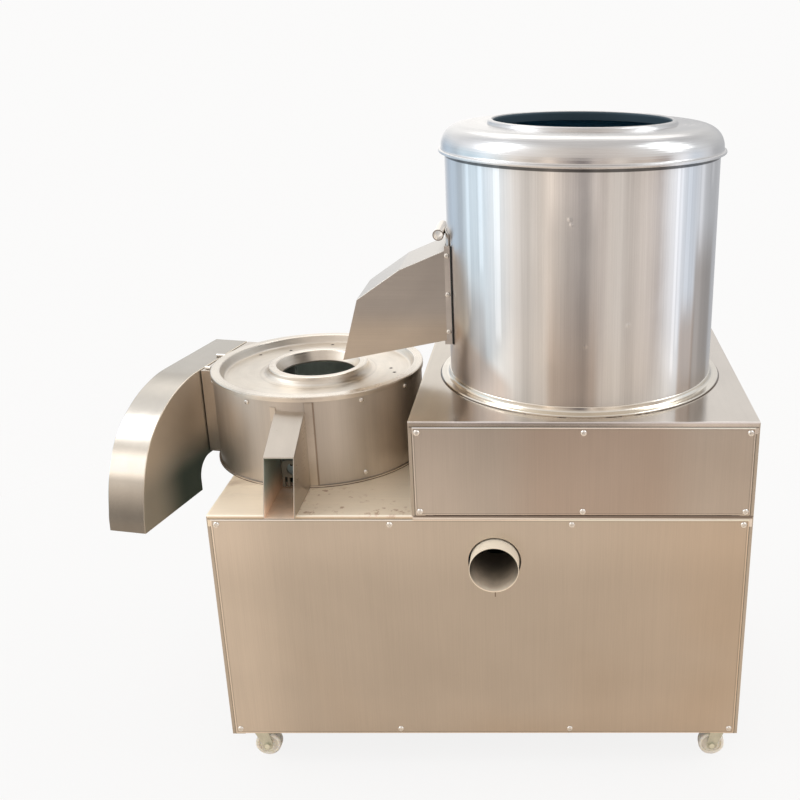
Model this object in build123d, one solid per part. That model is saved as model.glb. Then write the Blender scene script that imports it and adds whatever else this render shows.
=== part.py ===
from build123d import *
import math
import os

os.makedirs("parts", exist_ok=True)

# ---------------------------------------------------------------------------
# Potato peeling and slicing machine. Millimetres, +Z up, operator side at -Y.
# Everything is drawn from the lower cabinet's front left bottom corner and is
# moved at the end so that the origin is the bottom centre of the whole machine.
# ---------------------------------------------------------------------------
ORIGIN_X, ORIGIN_Y, ORIGIN_Z = 324.51, 239.0, -55.3

# cabinet
CAB_W, CAB_D, CAB_H = 800.0, 480.0, 384.0      # lower cabinet
UP_X, UP_TOP = 300.0, 531.0                    # upper cabinet: left side, top
SHEET = 1.5
TUBE, TUBE_T = 30.0, 2.0                       # square frame tube and its wall
PANEL_GAP = 6.0                                # cabinet edge left showing round a cover
LIP = 17.5                                     # folded edge of a deck
FOLD_R, EDGE_R = 2.4, 1.3                      # outer radius of the cabinet's folds, and of the small folds

# peeling drum
DR_X, DR_Y = 550.0, 240.0
DR_R = 208.0
DR_WALL_TOP = 880.0
FLANGE_R = 223.0
BEAD_R = 217.2
MOUTH_R = 133.5
WIN_Y0, WIN_Y1, WIN_Z0, WIN_Z1 = 184.0, 298.0, 602.0, 737.0   # outlet window
HOOD_Y0, HOOD_Y1 = 176.0, 306.0
HOOD_X = 342.5
GATE_RI, GATE_RO, GATE_Z0, GATE_Z1 = 208.6, 210.1, 600.3, 762.0
HANDLE_Z, HANDLE_R, HANDLE_L = 757.0, 8.5, 78.0

# slicer
SL_X, SL_Y = 120.0, 267.0
SL_R = 168.3
SL_TOP = 525.0
LID_R = 171.0
HOPPER_R = 60.0
# joint line between slicer outlet and discharge duct
DP = (-67.6, 245.3)
DD = (0.2001, 0.9798)        # along the line, towards the back
DN = (-0.9798, 0.2001)       # out of the slicer
DUCT_L, DUCT_W = 165.0, 62.0

# drain
DRAIN_X, DRAIN_Z, DRAIN_R, DRAIN_T, DRAIN_Y = 420.0, 309.0, 36.5, 1.5, -26.0
RISER_Y, BEND_R = 150.0, 60.0

# drive
MO_X, MO_Y = 330.0, 350.0
BELT_Z_DISC, BELT_Z_SLICER = 322.0, 296.0
R_MOTOR, R_DISC, R_SLICER = 28.0, 100.0, 80.0  # pitch radii
SHAFT_DISC_R, SHAFT_SL_R, RUN = 14.0, 12.5, 0.05

# casters
WHEEL_R, WHEEL_W, TRAIL = 20.5, 18.0, 8.0
AXLE_Z = -34.8
CASTERS = {"fl": (40.0, 28.0, 1), "fr": (772.0, 28.0, -1), "bl": (40.0, 452.0, 1), "br": (772.0, 452.0, -1)}


# --- helpers ----------------------------------------------------------------
def box(x0, x1, y0, y1, z0, z1):
    return Pos((x0 + x1) / 2, (y0 + y1) / 2, (z0 + z1) / 2) * Box(x1 - x0, y1 - y0, z1 - z0)


def cyl(x, y, r, z0, z1):
    return Pos(x, y, (z0 + z1) / 2) * Cylinder(r, z1 - z0)


def xcyl(y, z, r, x0, x1):
    return Pos((x0 + x1) / 2, y, z) * Rot(0, 90, 0) * Cylinder(r, x1 - x0)


def ycyl(x, z, r, y0, y1):
    return Pos(x, (y0 + y1) / 2, z) * Rot(90, 0, 0) * Cylinder(r, y1 - y0)


def ring(x, y, ro, ri, z0, z1):
    return cyl(x, y, ro, z0, z1) - cyl(x, y, ri, z0 - 1, z1 + 1)


def rev(pts, x=0.0, y=0.0):
    face = make_face(Polyline(*[(r, 0, z) for r, z in pts], close=True))
    return Pos(x, y, 0) * revolve(face, Axis.Z)


def prism_z(pts, z0, z1):
    face = make_face(Polyline(*[(x, y, z0) for x, y in pts], close=True))
    return extrude(face, amount=z1 - z0, dir=(0, 0, 1))


def prism_y(pts, y0, y1):
    face = make_face(Polyline(*[(x, y0, z) for x, z in pts], close=True))
    return extrude(face, amount=y1 - y0, dir=(0, 1, 0))


def prism_x(pts, x0, x1):
    face = make_face(Polyline(*[(x0, y, z) for y, z in pts], close=True))
    return extrude(face, amount=x1 - x0, dir=(1, 0, 0))


def inset(pts, d):
    """Polygon (anticlockwise) with edge i, from point i to i+1, moved inwards by d[i]."""
    n, lines = len(pts), []
    for i in range(n):
        (x0, y0), (x1, y1) = pts[i], pts[(i + 1) % n]
        l = math.hypot(x1 - x0, y1 - y0)
        ux, uy = (x1 - x0) / l, (y1 - y0) / l
        lines.append((x0 - uy * d[i], y0 + ux * d[i], ux, uy))
    out = []
    for i in range(n):
        ax, ay, au, av = lines[i - 1]
        bx, by, bu, bv = lines[i]
        det = au * bv - av * bu
        t = ((bx - ax) * bv - (by - ay) * bu) / det
        out.append((ax + au * t, ay + av * t))
    return out


def solids_of(shape):
    if isinstance(shape, (list, tuple)):
        return [s for part in shape for s in solids_of(part)]
    return list(shape.solids())


NODES = []


def save(name, shape):
    solids = solids_of(shape)
    moved = Compound(solids).moved(Location((-ORIGIN_X, -ORIGIN_Y, -ORIGIN_Z)))
    export_step(moved, f"parts/{name}.step")
    NODES.append((name, moved))


def round_edges(shape, r, *mids):
    """Round the edges whose middle is at one of the points."""
    picked = [e for e in shape.edges() if any((e.position_at(0.5) - Vector(*m)).length < 0.6 for m in mids)]
    return fillet(picked, r)


def folded(shape, r, axis, *where):
    """Round the straight edges along an axis whose other two coordinates are given."""
    keep = {Axis.X: (1, 2), Axis.Y: (0, 2), Axis.Z: (0, 1)}[axis]
    picked = []
    for e in shape.edges().filter_by(axis):
        c = tuple(e.center())
        if any(abs(c[keep[0]] - a) < 0.01 and abs(c[keep[1]] - b) < 0.01 for a, b in where):
            picked.append(e)
    return fillet(picked, r)


# --- frame: square tube -------------------------------------------------------
def tube_z(x, y, z0, z1):
    t = TUBE_T
    return box(x, x + TUBE, y, y + TUBE, z0, z1) - box(x + t, x + TUBE - t, y + t, y + TUBE - t, z0 - 1, z1 + 1)


def tube_x(y, z, x0, x1):
    t = TUBE_T
    return box(x0, x1, y, y + TUBE, z, z + TUBE) - box(x0 - 1, x1 + 1, y + t, y + TUBE - t, z + t, z + TUBE - t)


def tube_y(x, z, y0, y1):
    t = TUBE_T
    return box(x, x + TUBE, y0, y1, z, z + TUBE) - box(x + t, x + TUBE - t, y0 - 1, y1 + 1, z + t, z + TUBE - t)


xl, xr = SHEET, CAB_W - SHEET - TUBE           # left and right tubes
yf, yb = 2 * SHEET, CAB_D - 2 * SHEET - TUBE   # front and back tubes
xu = UP_X + SHEET                              # left tubes of the upper cabinet
zt = CAB_H - SHEET                             # top of the lower frame
zu = UP_TOP - SHEET                            # top of the upper frame

# screws that hold the covers: x, z, on the front; the back ones mirror them
lower_screws = [(x, z) for x in (14.0, 267.0, 534.0, 786.0) for z in (370.0, 10.5)]
upper_screws = [(x, z) for x in (312.5, 549.5, 787.0) for z in (515.0, 391.5)]
screw_holes = []
for x, z in lower_screws + upper_screws:
    screw_holes.append(ycyl(x, z, 2.45, -1, 8.5))
    screw_holes.append(ycyl(x, z, 2.45, CAB_D - 8.5, CAB_D + 1))
front_holes, back_holes = screw_holes[0::2], screw_holes[1::2]


def drill(shape, holes):
    b = shape.bounding_box()
    for h in holes:
        c = h.bounding_box()
        if c.max.X > b.min.X and c.min.X < b.max.X and c.max.Z > b.min.Z and c.min.Z < b.max.Z and c.max.Y > b.min.Y and c.min.Y < b.max.Y:
            shape = shape - h
    return shape


uprights = [tube_z(x, y, 0, zt) for x in (xl, xr) for y in (yf, yb)]
uprights += [tube_z(x, y, CAB_H, zu) for x in (xu, xr) for y in (yf, yb)]
long_rails = []
for y in (yf, yb):
    long_rails.append(tube_x(y, 0, xl + TUBE, xr))
    long_rails.append(tube_x(y, zt - TUBE, xl + TUBE, xr))
    long_rails.append(tube_x(y, zu - TUBE, xu + TUBE, xr))

cross_rails = [tube_y(x, z, yf + TUBE, yb) for x in (xl, xr) for z in (0, zt - TUBE)]
cross_rails.append(tube_y(xu, zt - TUBE, yf + TUBE, yb))
cross_rails += [tube_y(x, zu - TUBE, yf + TUBE, yb) for x in (xu, 470.0, 600.0, xr)]
save("frame_tubes", [drill(t, screw_holes) for t in uprights + long_rails] + cross_rails)


# --- cabinet sheets -------------------------------------------------------------
def side_sheet(x0, x1, z0, z1, inward):
    """Side sheet with a folded edge at the front and at the back."""
    s = box(x0, x1, SHEET, CAB_D - SHEET, z0, z1)
    fx0, fx1 = (x0, x0 + 20) if inward > 0 else (x1 - 20, x1)
    s += box(fx0, fx1, SHEET, 2 * SHEET, z0, z1 - LIP + SHEET)
    s += box(fx0, fx1, CAB_D - 2 * SHEET, CAB_D - SHEET, z0, z1 - LIP + SHEET)
    return drill(s, screw_holes)


CT_Y, CT_Z = 240.0, 290.0                      # control station, right side
BTN_Z = {"start_button": CT_Z + 26.0, "stop_button": CT_Z - 26.0}
save("lower_side_left", side_sheet(0, SHEET, 0, zt, 1))
right = side_sheet(CAB_W - SHEET, CAB_W, 0, zt, -1)
for z in BTN_Z.values():
    right -= xcyl(CT_Y, z, 11.2, CAB_W - 5, CAB_W + 5)
save("lower_side_right", right)
save("upper_side_left", side_sheet(UP_X, UP_X + SHEET, CAB_H, zu, 1))
save("upper_side_right", side_sheet(CAB_W - SHEET, CAB_W, CAB_H, zu, -1))


def deck(x0, x1, top):
    d = box(x0, x1, SHEET, CAB_D - SHEET, top - SHEET, top)
    d += box(x0 + SHEET, x1 - SHEET, SHEET, 2 * SHEET, top - LIP, top)
    d += box(x0 + SHEET, x1 - SHEET, CAB_D - 2 * SHEET, CAB_D - SHEET, top - LIP, top)
    return folded(d, FOLD_R, Axis.X, (SHEET, top), (CAB_D - SHEET, top))


low_deck = deck(0, CAB_W, CAB_H) - box(345, 765, 40, 440, CAB_H - 5, CAB_H + 5)
low_deck -= cyl(SL_X, SL_Y, 26, CAB_H - 5, CAB_H + 5)
save("lower_deck", drill(low_deck, screw_holes))
up_deck = deck(UP_X, CAB_W, UP_TOP)
up_deck -= cyl(DRAIN_X, RISER_Y, DRAIN_R + 0.1, UP_TOP - 5, UP_TOP + 5)
up_deck -= cyl(DR_X, DR_Y, 32, UP_TOP - 5, UP_TOP + 5)
save("upper_deck", drill(up_deck, screw_holes))

def cover(x0, x1, z0, z1, front):
    """Flat cover with its outer edges eased."""
    b = box(x0, x1, 0, SHEET, z0, z1) if front else box(x0, x1, CAB_D - SHEET, CAB_D, z0, z1)
    return fillet(b.faces().sort_by(Axis.Y)[0 if front else -1].edges(), EDGE_R - 0.2)


p = box(PANEL_GAP, CAB_W - PANEL_GAP, 0, SHEET, 2, 378) - ycyl(DRAIN_X, DRAIN_Z, DRAIN_R + 2.8, -2, 5)
save("lower_front_panel", drill(p, front_holes))
GLAND_X, GLAND_Z = 700.0, 70.0
p = box(PANEL_GAP, CAB_W - PANEL_GAP, CAB_D - SHEET, CAB_D, 2, 378)
p -= ycyl(GLAND_X, GLAND_Z, 8.1, CAB_D - 5, CAB_D + 5)
for cx in (200.0, 560.0):                      # ventilation slots for the motor space
    for i in range(6):
        p -= box(cx - 45, cx + 45, CAB_D - 5, CAB_D + 5, 150 + 18 * i, 156 + 18 * i)
save("lower_back_panel", drill(p, back_holes))
save("upper_front_panel", drill(cover(UP_X + PANEL_GAP, CAB_W - PANEL_GAP, 385.5, 523, True), front_holes))
save("upper_back_panel", drill(cover(UP_X + PANEL_GAP, CAB_W - PANEL_GAP, 385.5, 523, False), back_holes))


def pan_screw(head_r, head_h, shank_r, length):
    """Pan head screw with a cross recess, head up +Z from z = 0, shank down."""
    r, h = head_r, head_h
    s = rev([(0, -length), (shank_r, -length), (shank_r, 0), (r, 0), (r, h * 0.35), (r * 0.86, h * 0.7), (r * 0.55, h * 0.93), (0, h)])
    return s - box(-r * 0.52, r * 0.52, -r * 0.11, r * 0.11, h * 0.45, h + 1) - box(-r * 0.11, r * 0.11, -r * 0.52, r * 0.52, h * 0.45, h + 1)


scr = pan_screw(4.6, 2.7, 2.35, 7.0)
screws = []
for x, z in lower_screws + upper_screws:
    screws.append(Pos(x, 0, z) * Rot(90, 0, 0) * scr)
    screws.append(Pos(x, CAB_D, z) * Rot(-90, 0, 0) * scr)
save("panel_screws", screws)

# --- drum -------------------------------------------------------------------
window = box(DR_X - DR_R - 30, DR_X - 150, WIN_Y0, WIN_Y1, WIN_Z0, WIN_Z1)
INLET_Z = 846.0
inlet_hole = ycyl(DR_X, INLET_Z, 10.6, DR_Y + 190, DR_Y + 230)
wall = ring(DR_X, DR_Y, DR_R, DR_R - SHEET, UP_TOP, DR_WALL_TOP) - window - inlet_hole
save("drum_wall", wall)
save("drum_base_flange", rev([(DR_R + 0.02, UP_TOP), (FLANGE_R - 0.6, UP_TOP), (FLANGE_R, UP_TOP + 0.6), (FLANGE_R, UP_TOP + 2.4), (FLANGE_R - 0.8, UP_TOP + 3.2),
                              (DR_R + 6.5, UP_TOP + 3.6), (DR_R + 4.0, UP_TOP + 4.3), (DR_R + 2.6, UP_TOP + 5.7), (DR_R + 2.1, UP_TOP + 7.6),
                              (DR_R + 1.9, UP_TOP + 10.6), (DR_R + 1.2, UP_TOP + 11.6), (DR_R + 0.02, UP_TOP + 12.0)], DR_X, DR_Y))


def dome(r0, r1, z0, z1, n, p=2.2):
    """Quarter of a full ellipse from (r1, z0) up and in to (r0, z1)."""
    out = []
    for i in range(n):
        a = math.pi / 2 * i / (n - 1)
        out.append((r0 + (r1 - r0) * math.cos(a) ** (2 / p), z0 + (z1 - z0) * math.sin(a) ** (2 / p)))
    return out


outer = dome(176.0, 213.0, 886.5, 920.5, 17)
inner = dome(175.0, 211.2, 886.5, 918.7, 17)
lip = [(138.0 + 4.5 * math.cos(math.radians(a)), 922.0 + 4.5 * math.sin(math.radians(a))) for a in range(-10, 181, 19)]
top_ring = [(206.25, DR_WALL_TOP), (215.6, DR_WALL_TOP), (BEAD_R - 0.4, 880.7), (BEAD_R, 882.3), (BEAD_R - 0.4, 883.9), (215.6, 884.6), (213.6, 885.0)]
top_ring += outer + [(150.0, 920.5), (143.5, 920.2)] + lip[1:] + [(MOUTH_R, 912.0), (135.4, 912.0), (135.4, 918.7), (150.0, 918.7)]
top_ring += list(reversed(inner)) + [(204.4, 886.5), (204.4, 868.0), (206.25, 868.0)]
save("drum_top_ring", rev(top_ring, DR_X, DR_Y))
liner = ring(DR_X, DR_Y, 206.3, 202.5, 548, 866) - box(DR_X - 240, DR_X - 150, WIN_Y0 - 1, WIN_Y1 + 1, WIN_Z0 - 2, WIN_Z1 + 2) - inlet_hole
save("abrasive_liner", liner)
floor = rev([(20, UP_TOP), (206.3, UP_TOP), (206.3, UP_TOP + 3), (23, UP_TOP + 3), (23, UP_TOP + 21), (20, UP_TOP + 21)], DR_X, DR_Y)
floor -= cyl(DRAIN_X, RISER_Y, DRAIN_R - DRAIN_T, UP_TOP - 5, UP_TOP + 10)
save("drum_floor", floor)

# drain: riser from the drum floor, elbow, straight outlet through the front cover
save("drain_riser", ring(DRAIN_X, RISER_Y, DRAIN_R, DRAIN_R - DRAIN_T, DRAIN_Z + BEND_R, UP_TOP))
path = TangentArc((DRAIN_X, RISER_Y, DRAIN_Z + BEND_R), (DRAIN_X, RISER_Y - BEND_R, DRAIN_Z), tangent=(0, 0, -1))
pl = Plane(origin=(DRAIN_X, RISER_Y, DRAIN_Z + BEND_R), z_dir=(0, 0, -1))
save("drain_elbow", sweep(pl * Circle(DRAIN_R) - pl * Circle(DRAIN_R - DRAIN_T), path))
save("drain_pipe", ycyl(DRAIN_X, DRAIN_Z, DRAIN_R, DRAIN_Y, RISER_Y - BEND_R) - ycyl(DRAIN_X, DRAIN_Z, DRAIN_R - DRAIN_T, DRAIN_Y, RISER_Y - BEND_R))

# outlet frame: two guide bars and a sill on the drum's left side
bars = box(HOOD_X, 372, HOOD_Y0, WIN_Y0, 592, 745) + box(HOOD_X, 372, WIN_Y1, HOOD_Y1, 592, 745)
bars += box(HOOD_X - 3.0, 372, HOOD_Y0, HOOD_Y1, 592, 598.3)
bars -= cyl(DR_X, DR_Y, DR_R + 0.02, 580, 760)
slot = (ring(DR_X, DR_Y, GATE_RO + 0.4, GATE_RI - 0.4, 599.0, 760) & box(330, 372, 180.6, 299.4, 599.0, 760))
bars -= slot
hood_screw_z = (731.0, 671.0, 612.0)
for z in hood_screw_z:
    bars -= ycyl(346.0, z, 1.75, HOOD_Y0 - 1, HOOD_Y0 + 4.5)
    bars -= ycyl(346.0, z, 1.75, HOOD_Y1 - 4.5, HOOD_Y1 + 1)
save("outlet_frame", bars)

hood_pts = [(179.8, 565.5), (HOOD_X, 598.3), (HOOD_X, 739.0), (272.5, 709.0), (206.8, 663.0)]
hood_in = inset(hood_pts, [SHEET, -20, SHEET, SHEET, -20])
hood = prism_y(hood_pts, HOOD_Y0, HOOD_Y1)
mids = [((hood_pts[i][0] + hood_pts[i + 1][0]) / 2, y, (hood_pts[i][1] + hood_pts[i + 1][1]) / 2) for i in (0, 2, 3) for y in (HOOD_Y0, HOOD_Y1)]
hood = round_edges(hood, EDGE_R, *mids, (272.5, (HOOD_Y0 + HOOD_Y1) / 2, 709.0))
hood -= prism_y(hood_in, HOOD_Y0 + SHEET, HOOD_Y1 - SHEET)
hood -= cyl(DR_X, DR_Y, GATE_RO + 0.9, 560, 760) + box(HOOD_X - 3.05, HOOD_X + 5, HOOD_Y0 - 1, HOOD_Y1 + 1, 590, 598.35)
hood = max(hood.solids(), key=lambda s: s.volume)
save("chute_hood", hood)
hs = pan_screw(3.9, 2.6, 1.65, 4.0)
small_screws = [Pos(346.0, HOOD_Y0, z) * Rot(90, 0, 0) * hs for z in hood_screw_z] + [Pos(346.0, HOOD_Y1, z) * Rot(-90, 0, 0) * hs for z in hood_screw_z]

# sliding gate: curved plate in the guide bars, tube handle welded near its top
gate = ring(DR_X, DR_Y, GATE_RO, GATE_RI, GATE_Z0, GATE_Z1) & box(330, 372, 181.2, 298.8, GATE_Z0, GATE_Z1)
save("discharge_gate", gate)
HX = DR_X - GATE_RO - HANDLE_R + 0.15
handle = ycyl(HX, HANDLE_Z, HANDLE_R, DR_Y - HANDLE_L / 2, DR_Y + HANDLE_L / 2) - ycyl(HX, HANDLE_Z, HANDLE_R - 1.5, DR_Y - 60, DR_Y + 60)
handle -= cyl(DR_X, DR_Y, GATE_RO, GATE_Z0, GATE_Z1 + 20)
save("gate_handle", max(handle.solids(), key=lambda s: s.volume))

# rotating abrasive disc with three waves, on its shaft
disc = rev([(SHAFT_DISC_R + 0.02, 556), (27, 556), (27, 541), (31, 541), (31, 556), (195, 556), (197, 558), (197, 564), (195, 566), (34, 566), (30, 580), (0, 582), (0, 572), (SHAFT_DISC_R + 0.02, 572)], DR_X, DR_Y)
for k in range(3):
    ang = 20 + 120 * k
    wave = Pos(DR_X, DR_Y, 557) * Rot(0, 0, ang) * Pos(108, 0, 0) * Rot(0, 90, 0) * Cylinder(19, 150)
    wave &= box(0, 900, 0, 500, 560, 600)
    disc += wave
save("abrasive_disc", disc)
save("disc_shaft", cyl(DR_X, DR_Y, SHAFT_DISC_R, 303, 572))


def pulley(x, y, grooves, r_pitch, bore, z0, z1):
    """V-belt pulley with one groove at each z in grooves."""
    ro = r_pitch + 4.5
    s = ring(x, y, ro, bore, z0, z1)
    for z in grooves:
        s -= rev([(r_pitch - 6.5, z - 6.0), (ro + 1, z - 8.2), (ro + 1, z + 8.2), (r_pitch - 6.5, z + 6.0)], x, y)
    return s


dp = pulley(DR_X, DR_Y, [BELT_Z_DISC], R_DISC, SHAFT_DISC_R + 0.02, BELT_Z_DISC - 11, BELT_Z_DISC + 11)
save("disc_pulley", dp)
sp = pulley(SL_X, SL_Y, [BELT_Z_SLICER], R_SLICER, SHAFT_SL_R + 0.02, BELT_Z_SLICER - 11, BELT_Z_SLICER + 11)
save("slicer_pulley", sp)

# bearing housings under the two decks, and their bearings
hz0, hz1 = 378.0, zu - TUBE                    # drum drive housing
bh1 = ring(DR_X, DR_Y, 42, 26.02, hz0, hz1 - 10) + (box(470, 630, 180, 300, hz1 - 10, hz1) - cyl(DR_X, DR_Y, 26.02, hz1 - 12, hz1 + 2))
sz0, sz1 = 314.0, zt                           # slicer drive housing
bh2 = ring(SL_X, SL_Y, 36, 22.02, sz0, sz1 - 8) + (box(SL_X - 60, SL_X + 60, SL_Y - 60, SL_Y + 60, sz1 - 8, sz1) - cyl(SL_X, SL_Y, 22.02, sz1 - 10, sz1 + 2))
save("bearing_housings", [bh1, bh2])
bearings = [ring(DR_X, DR_Y, 26, SHAFT_DISC_R + RUN, z, z + 15) for z in (380, 482)]
bearings += [ring(SL_X, SL_Y, 22, SHAFT_SL_R + RUN, z, z + 12) for z in (316, 366)]
save("shaft_bearings", bearings)

# motor, its plate and its two-groove pulley
motor = cyl(MO_X, MO_Y, 66, 92, 250)
for k in range(24):                            # cooling ribs
    a = 15.0 * k
    motor += Pos(MO_X, MO_Y, 171) * Rot(0, 0, a) * Pos(67, 0, 0) * Box(10, 3, 150)
motor += cyl(MO_X, MO_Y, 70, 62, 96) + cyl(MO_X, MO_Y, 72, 248, 262) + cyl(MO_X, MO_Y, 80, 262, 270)
motor += box(MO_X - 35, MO_X + 35, MO_Y - 104, MO_Y - 60, 150, 225)
motor -= cyl(MO_X, MO_Y, 9.55, 238, 275)
save("drive_motor", motor)
mp = box(245, 415, 262, 447, 270, 276) + box(245, 415, 441, 447, 276, zt)
for x in (245.0, 409.0):
    mp += prism_x([(441, 276), (400, 276), (441, 340)], x, x + 6)
mp -= cyl(MO_X, MO_Y, 42, 260, 280)
mp -= box(xu - 0.2, xu + TUBE + 0.2, 440, 448, zt - TUBE - 0.2, zt + 1)
for sx in (-1, 1):
    for sy in (-1, 1):
        mp -= cyl(MO_X + sx * 48, MO_Y + sy * 48, 4.5, 260, 280)
save("motor_plate", mp)
save("motor_pulley", pulley(MO_X, MO_Y, [BELT_Z_SLICER, BELT_Z_DISC], R_MOTOR, 9.52, 284, 334))
save("motor_shaft", cyl(MO_X, MO_Y, 9.5, 240, 338))


def belt(x0, y0, r0, x1, y1, r1, z):
    """Open belt round two pulleys, 10 wide and 8 deep, running clear of the groove walls."""
    def loop(e, h):
        d = math.hypot(x1 - x0, y1 - y0)
        base = math.atan2(y1 - y0, x1 - x0)
        off = math.acos((r0 - r1) / d)
        pts = []
        for s in (1, -1):
            a = base + s * off
            pts.append([(x0 + (r0 + e) * math.cos(a), y0 + (r0 + e) * math.sin(a)), (x1 + (r1 + e) * math.cos(a), y1 + (r1 + e) * math.sin(a))])
        quad = prism_z([pts[0][0], pts[0][1], pts[1][1], pts[1][0]], z - h, z + h)
        return quad + cyl(x0, y0, r0 + e, z - h, z + h) + cyl(x1, y1, r1 + e, z - h, z + h)
    return loop(2.5, 5) - loop(-5.5, 6)


save("drive_belts", [belt(MO_X, MO_Y, R_MOTOR, DR_X, DR_Y, R_DISC, BELT_Z_DISC), belt(MO_X, MO_Y, R_MOTOR, SL_X, SL_Y, R_SLICER, BELT_Z_SLICER)])


# --- slicer ---------------------------------------------------------------------
def dpt(s, w):
    """Point at s along the duct joint line and w out from it."""
    return (DP[0] + s * DD[0] + w * DN[0], DP[1] + s * DD[1] + w * DN[1])


def dprism(s0, s1, w0, w1, z0, z1):
    return prism_z([dpt(s0, w0), dpt(s1, w0), dpt(s1, w1), dpt(s0, w1)], z0, z1)


nozzle_out = dprism(0, DUCT_L, -75, 0, CAB_H, SL_TOP)
base = ring(SL_X, SL_Y, LID_R + 0.5, 20, CAB_H, CAB_H + 3) + ring(SL_X, SL_Y, 22.5, 20, CAB_H, CAB_H + 8)
base -= dprism(-0.1, DUCT_L + 0.1, -75, 5, CAB_H - 1, CAB_H + 4) - cyl(SL_X, SL_Y, SL_R + 0.02, CAB_H - 2, CAB_H + 5)
save("slicer_base_plate", base)

CH_X0, CH_X1 = 87.0, 132.0                     # strip chute
z0h = CAB_H + 3
housing = ring(SL_X, SL_Y, SL_R, SL_R - SHEET, z0h, SL_TOP)
noz = nozzle_out - dprism(SHEET, DUCT_L - SHEET, -80, 10, CAB_H + SHEET, SL_TOP - SHEET)
noz -= cyl(SL_X, SL_Y, SL_R + 0.03, CAB_H - 2, CAB_H + 3)
noz -= cyl(SL_X, SL_Y, SL_R - SHEET / 2, CAB_H - 2, SL_TOP + 2)
noz = [s for s in noz.solids() if s.bounding_box().min.X < -20]
for s in noz:
    housing += s
housing -= dprism(20, 150, -75, -5, CAB_H + 8, SL_TOP - 12) - cyl(SL_X, SL_Y, SL_R - 10, CAB_H, SL_TOP)
housing -= box(90, 129, 60, 120, 392, 500)
slicer_screw_at = [(-160.7, 518), (-118, 518), (-56.4, 518), (-26, 518), (15, 518), (58, 518), (100, 518), (-56.4, 398), (-8, 398)]
for a, z in slicer_screw_at:
    ar = math.radians(a)
    housing -= Pos(SL_X + SL_R * math.cos(ar), SL_Y + SL_R * math.sin(ar), z) * Rot(0, 0, a) * Rot(0, 90, 0) * Cylinder(1.75, 8)
save("slicer_housing", max(housing.solids(), key=lambda s: s.volume))

lid_pts = [(LID_R, 525.02), (LID_R, 531.4), (LID_R - 0.5, 532.5), (LID_R - 1.6, 533), (157.6, 533), (156.4, 532.6), (155.6, 531.6), (151.6, 522.4), (150.2, 520.6), (148, 520),
           (92, 520), (87.5, 520.8), (84, 523.2), (81.6, 527), (80.4, 531.2), (79.7, 532.5), (78.2, 533), (69.2, 533), (67.8, 532.5), (67, 531.4), (61.2, 519.6), (HOPPER_R, 517), (HOPPER_R, 514.5),
           (63, 514.5), (72, 517), (149, 517), (151.5, 518), (155.5, 525.02), (160, 525.02), (160, 513), (166.6, 513), (166.6, 525.02)]
lid = rev(lid_pts, SL_X, SL_Y)
for r, a in ((141, 146), (139, 92), (126, 124), (141, -123), (118, 4), (127, -6), (143, -20)):   # tapped holes for the knife fixings
    ar = math.radians(a)
    lid -= cyl(SL_X + r * math.cos(ar), SL_Y + r * math.sin(ar), 2.1, 510, 525)
for a, z in slicer_screw_at[:7]:
    ar = math.radians(a)
    lid -= Pos(SL_X + 164 * math.cos(ar), SL_Y + 164 * math.sin(ar), z) * Rot(0, 0, a) * Rot(0, 90, 0) * Cylinder(1.75, 12)
save("slicer_lid", lid)
small_screws += [Pos(SL_X + SL_R * math.cos(math.radians(a)), SL_Y + SL_R * math.sin(math.radians(a)), z) * Rot(0, 0, a) * Rot(0, 90, 0) * hs for a, z in slicer_screw_at]
save("small_screws", small_screws)

imp = rev([(SHAFT_SL_R + 0.02, 395), (155, 395), (157, 397), (157, 401), (30, 401), (25, 424), (0, 427), (0, 420), (SHAFT_SL_R + 0.02, 420)], SL_X, SL_Y)
for k in range(4):
    ang = 90 * k + 52
    imp += Pos(SL_X, SL_Y, 453.5) * Rot(0, 0, ang) * Pos(115, 0, 0) * Rot(0, 0, 14) * Box(84, 5, 107)
save("slicer_impeller", imp)
save("slicer_shaft", cyl(SL_X, SL_Y, SHAFT_SL_R, 278, 420))

# slicing knife behind the slicer outlet, with its clamp bar
kn = prism_z([dpt(8, -9), dpt(36, -19.2), dpt(37.5, -19.4), dpt(32, -15.6), dpt(8.8, -6.8)], 396, 508)
clamp = prism_z([dpt(1.6, -4), dpt(14, -8.5), dpt(15, -5.6), dpt(1.6, -1)], 402, 502)
save("slicing_knife", [kn, clamp])

# strip knife holder inside the strip chute
kh = box(106, CH_X1 - SHEET, 88, 92, 425, 484) + box(122, 128.5, 92, 104, 425, 484)
kh -= ycyl(118, 462, 7, 80, 96)
kh += ycyl(109.5, 431, 2.6, 85, 88.5)
for k in range(5):
    kh += box(91, 107, 94 , 99, 432 + 10 * k, 433.2 + 10 * k) + box(106, 110, 91, 99, 432 + 10 * k, 433.2 + 10 * k)
save("strip_knife_holder", kh)

# strip chute: folded box, deeper at the slicer than at its mouth
cp = [(-10, CAB_H), (130, CAB_H), (130, 524.2), (16, 470)]
cin = inset(cp, [SHEET, -20, SHEET, -20])
chute = prism_x(cp, CH_X0, CH_X1)
chute = round_edges(chute, EDGE_R, *[(x, (cp[i][0] + cp[i + 1][0]) / 2, (cp[i][1] + cp[i + 1][1]) / 2) for i in (0, 2) for x in (CH_X0, CH_X1)])
chute -= prism_x(cin, CH_X0 + SHEET, CH_X1 - SHEET)
chute -= cyl(SL_X, SL_Y, SL_R + 0.03, CAB_H - 2, 560) + cyl(SL_X, SL_Y, LID_R + 0.6, CAB_H - 2, CAB_H + 3.02)
chute = max(chute.solids(), key=lambda s: s.volume)
tabs = ring(SL_X, SL_Y, SL_R + 1.53, SL_R + 0.03, CAB_H + 3.02, 524) & (box(CH_X1 - 0.5, 146, 60, 140, CAB_H, 523) + box(79, CH_X0 + 0.5, 60, 140, 493, 515))
chute += tabs
save("strip_chute", max(chute.solids(), key=lambda s: s.volume))

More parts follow.
